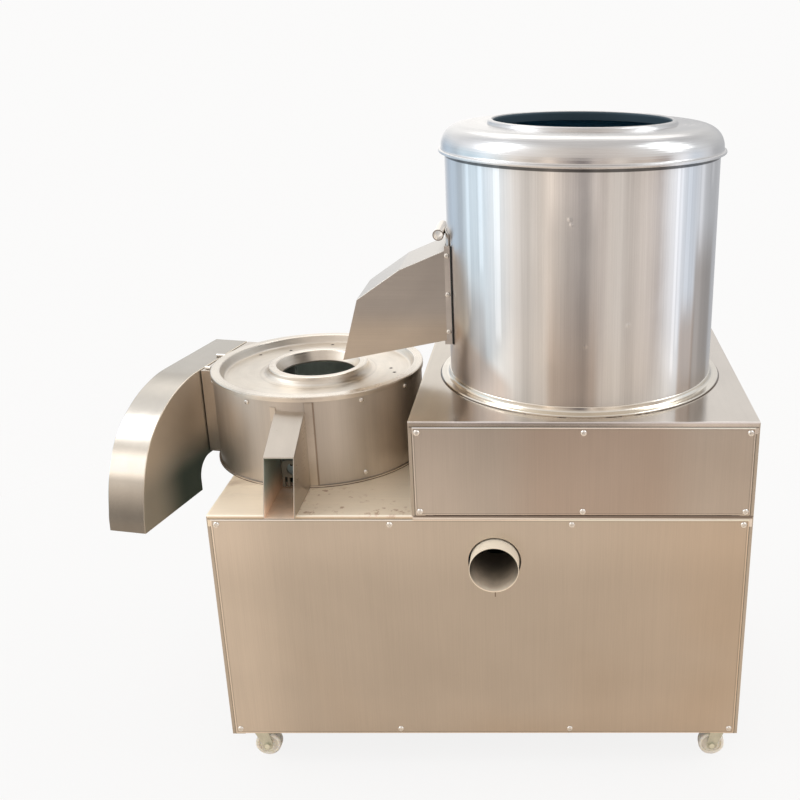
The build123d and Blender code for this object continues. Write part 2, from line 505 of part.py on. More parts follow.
# discharge duct: flat box against the slicer outlet, then an elbow down to an open mouth
curve = [(0, 526.0), (-26, 525.0), (-52, 520.8), (-84, 512.2), (-114, 498.8), (-138, 483.6), (-158, 465.4), (-174.4, 442.5), (-186.6, 416.5), (-195.6, 388.0), (-201.6, 358.5), (-204.2, 331.0)]


def sheet_offset(pts, d, t0, t1):
    """The same curve moved d to its left; t0 and t1 are the end tangents."""
    out = []
    for i, (a, b) in enumerate(pts):
        if i == 0:
            tx, ty = t0
        elif i == len(pts) - 1:
            tx, ty = t1
        else:
            tx, ty = pts[i + 1][0] - pts[i - 1][0], pts[i + 1][1] - pts[i - 1][1]
        l = math.hypot(tx, ty)
        out.append((a - ty / l * d, b + tx / l * d))
    return out


T0, T1 = (-1.0, 0.0), (-0.03, -1.0)


def duct_body(outer_pts, back, low, in_top, mouth_in, drop, w0, w1):
    """Side profile of the duct in the plane of the joint line, pushed out from w0 to w1."""
    def P(s, z):
        x, y = dpt(s, w0)
        return (x, y, z)
    t0 = (T0[0] * DD[0], T0[0] * DD[1], T0[1])
    t1 = (T1[0] * DD[0], T1[0] * DD[1], T1[1])
    top = Line(P(back, outer_pts[0][1]), P(*outer_pts[0]))
    sp = Spline(*[P(*q) for q in outer_pts], tangents=[t0, t1])
    e = outer_pts[-1]
    mouth = [P(*e)] + ([P(e[0], e[1] - drop)] if drop else []) + [P(mouth_in, 327 - drop), P(mouth_in, 346)]
    m = Polyline(*mouth)
    r = in_top - 346
    bend = TangentArc(P(mouth_in, 346), P(mouth_in + r, in_top), tangent=(0, 0, 1))
    close = Polyline(P(mouth_in + r, in_top), P(back, in_top), P(back, outer_pts[0][1]))
    face = make_face(top + sp + m + bend + close)
    body = extrude(face, amount=w1 - w0, dir=(DN[0], DN[1], 0))
    if drop:
        return body
    far = (DN[0] * (w1 - w0), DN[1] * (w1 - w0), 0)
    mids = [tuple(l.position_at(0.5) + Vector(*d)) for l in (top, sp) for d in ((0, 0, 0), far)]
    return round_edges(body, EDGE_R, *mids)


outer_pts = curve
inner_pts = sheet_offset(curve, SHEET, T0, T1)
duct = duct_body(outer_pts, DUCT_L, 0, 379.0, -34.5, 0.0, 2.0, DUCT_W)
hollow = duct_body(inner_pts, DUCT_L - SHEET, 0, 380.5, -36.0, 20.0, 2.0 + SHEET, DUCT_W - SHEET)
duct = duct - hollow
duct -= dprism(4, DUCT_L - 4, -2, 4, CAB_H + 2, SL_TOP - 3)
save("outlet_duct", max(duct.solids(), key=lambda s: s.volume))


def hook_pin(s, w0, w1, z, r):
    x0, y0 = dpt(s, w0)
    x1, y1 = dpt(s, w1)
    l = math.hypot(x1 - x0, y1 - y0)
    a = math.degrees(math.atan2(y1 - y0, x1 - x0))
    return Pos((x0 + x1) / 2, (y0 + y1) / 2, z) * Rot(0, 0, a) * Rot(0, 90, 0) * Cylinder(r, l)


pins = [hook_pin(72, -6.5, 10, 526.0 + 2.52, 2.5) - dprism(60, 90, -20, 1.9, SL_TOP - 5, SL_TOP), hook_pin(10, -12.5, -3, SL_TOP + 2.52, 2.5)]
pins[0] += dprism(69.5, 74.5, -6, -2.5, SL_TOP + 0.01, 527.5)
save("duct_pins", pins)

# --- services -----------------------------------------------------------------
inlet = ycyl(DR_X, INLET_Z, 10.5, DR_Y + 202.6, 478) + ycyl(DR_X, INLET_Z, 18, DR_Y + 200, DR_Y + 213)
inlet -= cyl(DR_X, DR_Y, DR_R + 0.03, 800, 880) - ycyl(DR_X, INLET_Z, 10.55, 380, 500)
inlet -= cyl(DR_X, DR_Y, 202.6, 800, 880)
inlet -= ycyl(DR_X, INLET_Z, 8.0, 400, 500)
save("water_inlet", inlet)
gland = ycyl(GLAND_X, GLAND_Z, 8.0, CAB_D - 16, CAB_D) + ycyl(GLAND_X, GLAND_Z, 12.0, CAB_D + 0.01, CAB_D + 7) + ycyl(GLAND_X, GLAND_Z, 10.0, CAB_D + 7, CAB_D + 24)
gland += ycyl(GLAND_X, GLAND_Z, 11.5, CAB_D - 6.5, CAB_D - SHEET - 0.01)
gland -= ycyl(GLAND_X, GLAND_Z, 5.0, CAB_D - 20, CAB_D + 30)
save("cable_gland", gland)

plate = box(CAB_W, CAB_W + 2, CT_Y - 38, CT_Y + 38, CT_Z - 58, CT_Z + 58)
plate = fillet(plate.edges().filter_by(Axis.X), 6)
station = []
for name, z in BTN_Z.items():
    plate -= xcyl(CT_Y, z, 11.1, CAB_W - 5, CAB_W + 5)
    bez = xcyl(CT_Y, z, 11.0, CAB_W - 34, CAB_W + 2) + xcyl(CT_Y, z, 14.5, CAB_W + 2.01, CAB_W + 8)
    bez -= xcyl(CT_Y, z, 9.8, CAB_W - 14, CAB_W + 20)
    station.append(bez)
save("control_station", [plate] + station)
for name, z in BTN_Z.items():
    proud = 10.0 if name == "start_button" else 12.0
    cap = xcyl(CT_Y, z, 9.4, CAB_W - 8, CAB_W + proud)
    cap = fillet(cap.edges().sort_by(Axis.X)[-1], 1.2)
    if name == "stop_button":
        head = xcyl(CT_Y, z, 13.0, CAB_W + proud, CAB_W + proud + 6)
        cap = cap + fillet(head.edges().sort_by(Axis.X)[-1], 3.0)
    save(name, cap)

# --- casters --------------------------------------------------------------------
plates = []
for key, (px, py, sgn) in CASTERS.items():
    cp_ = box(px - 23, px + 23, py - 20, py + 20, -3, 0)
    cp_ = fillet(cp_.edges().filter_by(Axis.Z), 4)
    cp_ += cyl(px, py, 13.5, -8, -3) + cyl(px, py, 4.0, -12.9, -8) + cyl(px, py, 6.5, -12.9, -10.8)
    for sx in (-1, 1):
        for sy in (-1, 1):
            cp_ += cyl(px + sx * 17.5, py + sy * 14.5, 3.4, -5.4, -3)
    plates.append(cp_)
save("caster_plates", plates)
for key, (px, py, sgn) in CASTERS.items():
    wx = px + sgn * TRAIL
    crown = box(px - 15, px + 15, py - 11.9, py + 11.9, -10.5, -8.3)
    crown &= cyl(px, py, 16.5, -12, -8)
    fork = crown
    for s in (-1, 1):
        y0, y1 = (py + 9.9, py + 11.9) if s > 0 else (py - 11.9, py - 9.9)
        leg = prism_y([(px - 11.3, -8.3), (px + 11.3, -8.3), (wx + 8.2, AXLE_Z + 2), (wx - 8.2, AXLE_Z + 2)], y0, y1)
        leg += ycyl(wx, AXLE_Z, 8.4, y0, y1)
        fork = fork + leg
    fork -= cyl(px, py, 4.06, -12, -7)
    fork -= cyl(px, py, 7.0, -14, -10.55)
    fork -= ycyl(wx, AXLE_Z, 3.03, py - 20, py + 20)
    axle = ycyl(wx, AXLE_Z, 3.0, py - 14.9, py + 14.9) + ycyl(wx, AXLE_Z, 5.0, py - 15, py - 11.92) + ycyl(wx, AXLE_Z, 5.0, py + 11.92, py + 15)
    save(f"caster_fork_{key}", [fork, axle])
    h, R = WHEEL_W / 2, WHEEL_R
    prof = [(3.06, -9.5), (7, -9.5), (7, -5), (15.5, -5), (15.5, -h + 0.6), (16.3, -h), (R - 1.8, -h), (R - 0.4, -h + 1.6), (R, -h + 3.6), (R, h - 3.6), (R - 0.4, h - 1.6), (R - 1.8, h), (16.3, h), (15.5, h - 0.6), (15.5, 5), (7, 5), (7, 9.5), (3.06, 9.5)]
    wheel = Pos(wx, py, AXLE_Z) * Rot(90, 0, 0) * rev(prof)
    save(f"caster_wheel_{key}", wheel)

# --- report -----------------------------------------------------------------------
lo, hi = [1e9] * 3, [-1e9] * 3
for name, shape in NODES:
    b = shape.bounding_box()
    for i, (a, c) in enumerate(zip((b.min.X, b.min.Y, b.min.Z), (b.max.X, b.max.Y, b.max.Z))):
        lo[i], hi[i] = min(lo[i], a), max(hi[i], c)
print("nodes", len(NODES), "box", [round(v, 3) for v in lo], [round(v, 3) for v in hi])
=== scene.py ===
import math

import bmesh
import bpy
from mathutils import Matrix, Vector


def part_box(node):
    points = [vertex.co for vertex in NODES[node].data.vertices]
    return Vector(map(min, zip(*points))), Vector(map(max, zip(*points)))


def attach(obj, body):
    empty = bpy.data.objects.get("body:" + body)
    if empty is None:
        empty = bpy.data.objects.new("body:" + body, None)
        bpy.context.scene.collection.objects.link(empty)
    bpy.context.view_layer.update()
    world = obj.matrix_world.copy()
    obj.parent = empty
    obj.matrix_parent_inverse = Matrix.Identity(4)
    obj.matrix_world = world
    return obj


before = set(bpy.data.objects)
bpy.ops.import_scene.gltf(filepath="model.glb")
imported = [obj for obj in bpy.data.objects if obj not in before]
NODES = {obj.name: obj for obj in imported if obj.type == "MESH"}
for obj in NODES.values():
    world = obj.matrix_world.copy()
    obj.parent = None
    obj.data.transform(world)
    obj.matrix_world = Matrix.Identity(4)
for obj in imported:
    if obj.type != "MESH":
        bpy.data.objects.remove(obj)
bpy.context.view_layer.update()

scene = bpy.context.scene
scene.view_settings.view_transform = "Standard"
scene.view_settings.look = "None"
scene.view_settings.exposure = 0.0
scene.view_settings.gamma = 1.0


# the cabinet's front, bottom, left corner in the row frame, found from the cabinet itself
CX, CY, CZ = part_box("lower_side_left")[0][0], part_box("lower_front_panel")[0][1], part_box("lower_side_left")[0][2]


def R(x, y, z):
    """A point measured in mm from the cabinet's front, bottom, left corner, in the row frame (m)."""
    return Vector((CX + x / 1000.0, CY + y / 1000.0, CZ + z / 1000.0))


DRUM = R(550, 240, 0)
SLICER = R(120, 267, 0)

# --- camera ---------------------------------------------------------------------
yaw, pitch, roll = math.radians(0.41), math.radians(20.19), math.radians(-0.22)
fwd = Vector((math.sin(yaw) * math.cos(pitch), math.cos(yaw) * math.cos(pitch), -math.sin(pitch)))
right = Vector((math.cos(yaw), -math.sin(yaw), 0.0))
down = fwd.cross(right)
right2 = right * math.cos(roll) + down * math.sin(roll)
down2 = -right * math.sin(roll) + down * math.cos(roll)
cam_data = bpy.data.cameras.new("camera")
cam_data.sensor_width = 36.0
cam_data.lens = 46.75
cam_data.shift_x = -0.1939
cam_data.dof.use_dof = False
cam = bpy.data.objects.new("camera", cam_data)
scene.collection.objects.link(cam)
pos = R(499.0, -1365.5, 1067.1)
cam.matrix_world = Matrix((
    (right2.x, -down2.x, -fwd.x, pos.x),
    (right2.y, -down2.y, -fwd.y, pos.y),
    (right2.z, -down2.z, -fwd.z, pos.z),
    (0, 0, 0, 1)))
scene.camera = cam


# --- node helpers -----------------------------------------------------------------
class Graph:
    """A material's node tree, built with short calls."""

    def __init__(self, name):
        self.mat = bpy.data.materials.new(name)
        self.mat.use_nodes = True
        self.t = self.mat.node_tree
        self.t.nodes.clear()
        self.out = self.t.nodes.new("ShaderNodeOutputMaterial")

    def node(self, kind, **props):
        n = self.t.nodes.new(kind)
        for k, v in props.items():
            setattr(n, k, v)
        return n

    def link(self, a, b):
        self.t.links.new(a, b)

    def put(self, socket, value):
        if isinstance(value, bpy.types.NodeSocket):
            self.link(value, socket)
        elif value is not None:
            socket.default_value = value

    def math(self, op, a, b=None, c=None, clamp=False):
        n = self.node("ShaderNodeMath", operation=op, use_clamp=clamp)
        self.put(n.inputs[0], a)
        if b is not None:
            self.put(n.inputs[1], b)
        if c is not None:
            self.put(n.inputs[2], c)
        return n.outputs[0]

    def vmath(self, op, a, b=None, out=0):
        n = self.node("ShaderNodeVectorMath", operation=op)
        self.put(n.inputs[0], a)
        if b is not None:
            self.put(n.inputs[1], b)
        return n.outputs[out]

    def coords(self):
        if not hasattr(self, "_co"):
            self._co = self.node("ShaderNodeTexCoord").outputs["Object"]
        return self._co

    def xyz(self, v):
        n = self.node("ShaderNodeSeparateXYZ")
        self.link(v, n.inputs[0])
        return n.outputs

    def vec(self, x, y, z):
        n = self.node("ShaderNodeCombineXYZ")
        for s, v in zip(n.inputs, (x, y, z)):
            self.put(s, v)
        return n.outputs[0]

    def noise(self, v, scale=1.0, detail=2.0, rough=0.5, distort=0.0, kind="FBM"):
        n = self.node("ShaderNodeTexNoise", noise_dimensions="3D")
        self.put(n.inputs["Vector"], v)
        n.inputs["Scale"].default_value = scale
        n.inputs["Detail"].default_value = detail
        n.inputs["Roughness"].default_value = rough
        n.inputs["Distortion"].default_value = distort
        return n.outputs["Fac"]

    def ramp(self, fac, lo, hi, a=0.0, b=1.0, smooth=False):
        n = self.node("ShaderNodeMapRange", clamp=True)
        if smooth:
            n.interpolation_type = "SMOOTHSTEP"
        self.put(n.inputs["Value"], fac)
        n.inputs["From Min"].default_value = lo
        n.inputs["From Max"].default_value = hi
        n.inputs["To Min"].default_value = a
        n.inputs["To Max"].default_value = b
        return n.outputs[0]

    def mix(self, fac, a, b, mode="MIX"):
        n = self.node("ShaderNodeMix", data_type="RGBA", blend_type=mode)
        self.put(n.inputs[0], fac)
        self.put(n.inputs[6], (*a, 1.0) if isinstance(a, tuple) else a)
        self.put(n.inputs[7], (*b, 1.0) if isinstance(b, tuple) else b)
        return n.outputs[2]

    def scale_colour(self, colour, k):
        n = self.node("ShaderNodeVectorMath", operation="SCALE")
        if isinstance(colour, tuple):
            n.inputs[0].default_value = colour
        else:
            self.link(colour, n.inputs[0])
        self.put(n.inputs["Scale"], k)
        return n.outputs[0]

    def bump(self, height, strength, distance, normal=None):
        n = self.node("ShaderNodeBump")
        self.put(n.inputs["Height"], height)
        n.inputs["Strength"].default_value = strength
        n.inputs["Distance"].default_value = distance
        if normal is not None:
            self.link(normal, n.inputs["Normal"])
        return n.outputs[0]

    def principled(self, **kw):
        n = self.node("ShaderNodeBsdfPrincipled")
        for k, v in kw.items():
            s = n.inputs[k.replace("_", " ")]
            if isinstance(v, tuple) and len(v) == 3 and s.type == "RGBA":
                v = (*v, 1.0)
            self.put(s, v)
        self.link(n.outputs[0], self.out.inputs[0])
        return n


def window(g, v, lo, hi, soft):
    """1 where v lies between lo and hi, fading to 0 over soft at both ends."""
    up = g.ramp(v, lo - soft, lo, 0.0, 1.0, True)
    return g.math("MULTIPLY", up, g.ramp(v, hi, hi + soft, 1.0, 0.0, True))


def times(g, *values):
    out = values[0]
    for v in values[1:]:
        out = g.math("MULTIPLY", out, v)
    return out


def tint(g, col, mask, rgb):
    """Multiply a colour by rgb where the mask is 1."""
    return g.vmath("MULTIPLY", col, g.mix(mask, (1.0, 1.0, 1.0), rgb))


def local(g, at=(0.0, 0.0, 0.0)):
    """Coordinates measured from a point of the row frame."""
    return g.xyz(g.vmath("SUBTRACT", g.coords(), tuple(at)))


def grain_vector(g, grain, centre, fine, along):
    """Coordinates that vary quickly across the grain and slowly along it."""
    co = g.coords()
    if centre is not None:
        co = g.vmath("SUBTRACT", co, tuple(centre))
    s = g.xyz(co)
    if grain == "z":
        return g.vec(g.math("MULTIPLY", s[0], fine), g.math("MULTIPLY", s[1], fine), g.math("MULTIPLY", s[2], along))
    if grain == "x":
        return g.vec(g.math("MULTIPLY", s[0], along), g.math("MULTIPLY", s[1], fine), g.math("MULTIPLY", s[2], fine))
    if grain == "y":
        return g.vec(g.math("MULTIPLY", s[0], fine), g.math("MULTIPLY", s[1], along), g.math("MULTIPLY", s[2], fine))
    if grain == "ring":   # round the vertical axis through centre
        r = g.vmath("LENGTH", g.vec(s[0], s[1], 0.0), out=1)
        unit = g.vmath("NORMALIZE", g.vec(s[0], s[1], 0.0))
        u = g.xyz(unit)
        rr = g.math("MULTIPLY", r, fine)
        return g.vec(g.math("MULTIPLY_ADD", u[0], along, rr), g.math("MULTIPLY", u[1], along), g.math("MULTIPLY", s[2], fine))
    return g.vec(g.math("MULTIPLY", s[0], fine), g.math("MULTIPLY", s[1], fine), g.math("MULTIPLY", s[2], fine))


def steel(name, base, rough=0.32, grain="z", centre=None, fine=900.0, along=9.0, band=60.0, band_along=1.2,
          band_amount=0.10, grain_amount=0.10, cloud=5.0, cloud_amount=0.08, rough_amount=0.10, bump=0.25,
          stain=None, stain_amount=0.0, metal=1.0, aniso=0.0, aniso_rot=0.0, tangent=None, finish=None, dents=()):
    """Brushed, satin or polished sheet: fine grain, broader bands, soft clouds and stains, all procedural."""
    g = Graph(name)
    gv = grain_vector(g, grain, centre, fine, along)
    n_fine = g.noise(gv, 1.0, 3.0, 0.65)
    bv = grain_vector(g, grain, centre, band, band_along)
    n_band = g.noise(bv, 1.0, 3.0, 0.55)
    n_cloud = g.noise(g.coords(), cloud, 4.0, 0.6, 0.3)
    k = g.math("MULTIPLY_ADD", g.ramp(n_fine, 0.25, 0.75, -1.0, 1.0), grain_amount, 1.0)
    k = g.math("MULTIPLY_ADD", g.ramp(n_band, 0.3, 0.7, -1.0, 1.0), band_amount, k)
    k = g.math("MULTIPLY_ADD", g.ramp(n_cloud, 0.3, 0.7, -1.0, 1.0), cloud_amount, k)
    col = g.scale_colour(base, k)
    if stain is not None and stain_amount > 0:
        n_st = g.noise(g.coords(), 14.0, 5.0, 0.7, 0.8)
        n_st2 = g.noise(g.coords(), 3.2, 3.0, 0.5)
        f = g.math("MULTIPLY", g.ramp(n_st, 0.50, 0.72, 0.0, 1.0, True), g.ramp(n_st2, 0.42, 0.62, 0.0, stain_amount, True))
        col = g.mix(f, col, stain)
    rr = g.math("MULTIPLY_ADD", g.ramp(n_fine, 0.25, 0.75, -1.0, 1.0), rough_amount * 0.5, rough)
    rr = g.math("MULTIPLY_ADD", g.ramp(n_cloud, 0.3, 0.7, -1.0, 1.0), rough_amount * 0.6, rr, clamp=True)
    nrm = g.bump(n_fine, bump, 0.0003)
    nrm = g.bump(g.noise(g.coords(), 7.0, 2.0, 0.5), 0.10, 0.004, nrm)
    if finish:
        col, rr, metal = finish(g, col, rr, metal)
    if dents:
        d_all = None
        for at, size in dents:
            d = g.vmath("LENGTH", g.vmath("SUBTRACT", g.coords(), tuple(at)), out=1)
            d = g.ramp(d, 0.0, size, 1.0, 0.0, True)
            d_all = d if d_all is None else g.math("MAXIMUM", d_all, d)
        nrm = g.bump(d_all, 0.6, 0.0006, nrm)
    p = g.principled(Metallic=metal, Roughness=rr, Normal=nrm, Anisotropic=aniso, Anisotropic_Rotation=aniso_rot)
    g.put(p.inputs["Base Color"], col)
    if tangent:
        tn = g.node("ShaderNodeTangent", direction_type="RADIAL", axis=tangent)
        g.link(tn.outputs[0], p.inputs["Tangent"])
    return g.mat


def lin(r, g, b):
    """sRGB 0-255 to linear."""
    def f(c):
        c /= 255.0
        return c / 12.92 if c <= 0.04045 else ((c + 0.055) / 1.055) ** 2.4
    return (f(r), f(g), f(b))


def plastic(name, base, rough=0.45, vary=0.06, grit=0.12, spec=0.5, scale=60.0, sss=0.0):
    g = Graph(name)
    n = g.noise(g.coords(), scale, 4.0, 0.6)
    n2 = g.noise(g.coords(), scale * 14, 2.0, 0.5)
    k = g.math("MULTIPLY_ADD", g.ramp(n, 0.3, 0.7, -1.0, 1.0), vary, 1.0)
    col = g.scale_colour(base, k)
    rr = g.math("MULTIPLY_ADD", g.ramp(n, 0.3, 0.7, -1.0, 1.0), 0.08, rough, clamp=True)
    nrm = g.bump(n2, grit, 0.0004)
    p = g.principled(Roughness=rr, Normal=nrm)
    p.inputs["Specular IOR Level"].default_value = spec
    g.put(p.inputs["Base Color"], col)
    if sss:
        p.inputs["Subsurface Weight"].default_value = sss
        p.inputs["Subsurface Scale"].default_value = 0.004
        p.inputs["Subsurface Radius"].default_value = (1.0, 0.9, 0.7)
    return g.mat


# --- materials --------------------------------------------------------------------
def cover_finish(x0, x1, z0, z1):
    """Cover sheet: a painted highlight on its eased rim and along its top edge, with a painted shadow line just inside
    the rim.
    """
    def f(g, col, rr, metal):
        s = local(g, R(0, 0, 0))
        dx = g.math("MINIMUM", g.math("SUBTRACT", s[0], x0 / 1000), g.math("SUBTRACT", x1 / 1000, s[0]))
        dz = g.math("MINIMUM", g.math("SUBTRACT", s[2], z0 / 1000), g.math("SUBTRACT", z1 / 1000, s[2]))
        d = g.math("MINIMUM", dx, dz)
        # painted highlight on the eased rim, painted shadow line just inside it
        rim = g.ramp(d, 0.0012, 0.0018, 1.0, 0.0, True)
        line = window(g, d, 0.0022, 0.0030, 0.0004)
        k = g.math("MULTIPLY_ADD", rim, 0.30, 1.0)
        k = g.math("MULTIPLY_ADD", line, -0.26, k)
        col = g.scale_colour(col, k)
        # painted highlight along the top edge, weaker on the lower cover below the upper cabinet's left part
        top_edge_highlight = g.ramp(s[2], (z1 - 2.3) / 1000, (z1 - 1.6) / 1000, 0.0, 1.0, True)
        if z0 < 100:
            under = g.math("MULTIPLY", g.ramp(s[0], 0.296, 0.304, 0.0, 1.0), g.ramp(s[0], 0.42, 0.66, 1.0, 0.0))
            top_edge_highlight = g.math("MULTIPLY", top_edge_highlight, g.math("SUBTRACT", 1.0, g.math("MULTIPLY", under, 0.8)))
        col = tint(g, col, top_edge_highlight, (1.52, 1.56, 1.62))
        soft = g.noise(g.coords(), 1.7, 2.0, 0.5, 0.4)
        col = tint(g, col, g.ramp(soft, 0.50, 0.66, 0.0, 1.0, True), (0.98, 0.945, 0.905))
        if z0 < 100:   # lower cover: painted light making it lighter along its top, its foot and its left end, browner to the right, a dried drip under the pipe, a painted shadow round the pipe
            col = g.scale_colour(col, g.ramp(s[2], 0.26, 0.36, 1.0, 1.15, True))
            col = g.scale_colour(col, g.ramp(s[2], 0.11, 0.02, 1.0, 1.08, True))
            col = tint(g, col, g.ramp(s[0], 0.42, 0.74, 0.0, 1.0, True), (0.995, 0.965, 0.935))
            col = g.scale_colour(col, g.ramp(s[0], 0.13, 0.03, 1.0, 1.17, True))
            front = g.ramp(s[1], 0.010, 0.012, 1.0, 0.0)
            # painted shadow in the gap between the drain pipe and its hole, round the upper half
            rp = g.vmath("LENGTH", g.vec(g.math("SUBTRACT", s[0], 0.420), 0.0, g.math("SUBTRACT", s[2], 0.309)), out=1)
            shade = times(g, front, g.ramp(rp, 0.0388, 0.0398, 1.0, 0.0, True), g.ramp(s[2], 0.300, 0.318, 0.0, 1.0, True))
            col = g.mix(g.math("MULTIPLY", shade, 0.85), col, lin(64, 44, 30))
            drip = times(g, front, window(g, s[0], 0.4195, 0.4204, 0.0006), window(g, s[2], 0.2500, 0.2572, 0.0012))
            col = g.mix(g.math("MULTIPLY", drip, 0.75), col, lin(96, 70, 50))
        else:          # upper cover: browner in its middle
            col = tint(g, col, window(g, s[0], 0.50, 0.64, 0.09), (0.94, 0.87, 0.83))
            col = g.scale_colour(col, g.ramp(s[0], 0.42, 0.34, 1.0, 1.09, True))
        return col, rr, metal
    return f


def deck_finish(top, panel_top, x0, specks=False, ring=False):
    """Folded deck edge: a painted highlight along the folded front edge and along the side edge, dark joint line above
    the cover, a painted highlight line under the upper cabinet, specks of dirt, painted reflection darkening the upper
    deck's left end, dirt round the drum.
    """
    def f(g, col, rr, metal):
        s = local(g, R(0, 0, 0))
        front = g.ramp(s[1], 0.004, 0.0045, 1.0, 0.0)
        # painted highlight along the folded front edge, lighter and cooler
        fold_highlight = times(g, front, g.ramp(s[2], (top - 3.2) / 1000, (top - 2.2) / 1000, 0.0, 1.0, True))
        joint = times(g, front, window(g, s[2], (panel_top - 0.5) / 1000, (panel_top + 1.2) / 1000, 0.0004))
        k = g.math("MULTIPLY_ADD", fold_highlight, 0.16, 1.0)
        k = g.math("MULTIPLY_ADD", joint, -0.55, k)
        col = g.scale_colour(col, k)
        col = tint(g, col, fold_highlight, (1.0, 1.01, 1.07))
        if specks:
            # under the upper cabinet: a dark brown joint line above a painted highlight line
            under = g.ramp(s[0], 0.300, 0.303, 0.0, 1.0)
            below = times(g, front, window(g, s[2], 0.3792, 0.3816, 0.0006), g.math("SUBTRACT", 1.0, under))
            col = tint(g, col, below, (0.80, 0.74, 0.67))
            low = g.ramp(s[0], 0.30, 0.80, 0.3808, 0.3792)
            dark = times(g, front, under, g.ramp(g.math("SUBTRACT", s[2], low), 0.0, 0.0006, 0.0, 1.0, True))
            lit = times(g, front, under, g.math("SUBTRACT", 1.0, dark))
            col = g.mix(g.math("MULTIPLY", dark, 0.80), col, lin(84, 58, 42))
            col = g.mix(g.math("MULTIPLY", lit, 0.85), col, lin(250, 240, 230))
        # painted highlight along the deck's side edge
        side = window(g, s[0], (x0 + 0.4) / 1000, (x0 + 2.4) / 1000, 0.0006)
        col = g.scale_colour(col, g.math("MULTIPLY_ADD", side, 0.10, 1.0))
        if specks:
            n = g.noise(g.coords(), 95.0, 4.0, 0.6)
            n2 = g.noise(g.coords(), 21.0, 3.0, 0.6)
            zone = times(g, window(g, s[0], 0.15, 0.27, 0.05), window(g, s[1], 0.012, 0.085, 0.02))
            m = times(g, g.ramp(n, 0.54, 0.66, 0.0, 1.0, True), g.ramp(n2, 0.45, 0.59, 0.0, 0.58, True), zone)
            col = g.mix(m, col, lin(158, 104, 58))
        if ring:
            # painted reflection darkening the upper deck's left end
            col = tint(g, col, g.ramp(s[0], 0.375, 0.325, 0.0, 1.0, True), (0.86, 0.84, 0.80))
            c = local(g, R(550, 240, 0))
            r = g.vmath("LENGTH", g.vec(c[0], c[1], 0.0), out=1)
            n = g.noise(g.vmath("NORMALIZE", g.vec(c[0], c[1], 0.0)), 9.0, 3.0, 0.6)
            side_ = g.ramp(g.math("ABSOLUTE", c[0]), 0.07, 0.14, 0.0, 1.0, True)
            broken = g.math("MAXIMUM", side_, g.ramp(n, 0.50, 0.60, 0.0, 1.0, True))
            m = times(g, window(g, r, 0.2225, 0.2246, 0.0006), broken)
            col = g.mix(g.math("MULTIPLY", m, 0.92), col, lin(70, 46, 28))
            metal = g.math("MULTIPLY_ADD", m, -0.9 * metal, metal)
        return col, rr, metal
    return f


def side_finish(g, col, rr, metal):
    """Side sheet: its folded edge is a little darker beside the cover, with the joint line."""
    s = local(g, R(0, 0, 0))
    dx = g.math("MINIMUM", g.math("ABSOLUTE", g.math("SUBTRACT", s[0], 0.0)), g.math("ABSOLUTE", g.math("SUBTRACT", s[0], 0.8)))
    dx = g.math("MINIMUM", dx, g.math("ABSOLUTE", g.math("SUBTRACT", s[0], 0.3)))
    front = g.ramp(g.math("ABSOLUTE", g.math("SUBTRACT", s[1], 0.24)), 0.2355, 0.2362, 0.0, 1.0)
    joint = times(g, front, window(g, dx, 0.0046, 0.0064, 0.0004))
    return g.scale_colour(col, g.math("MULTIPLY_ADD", joint, -0.5, 1.0)), rr, metal


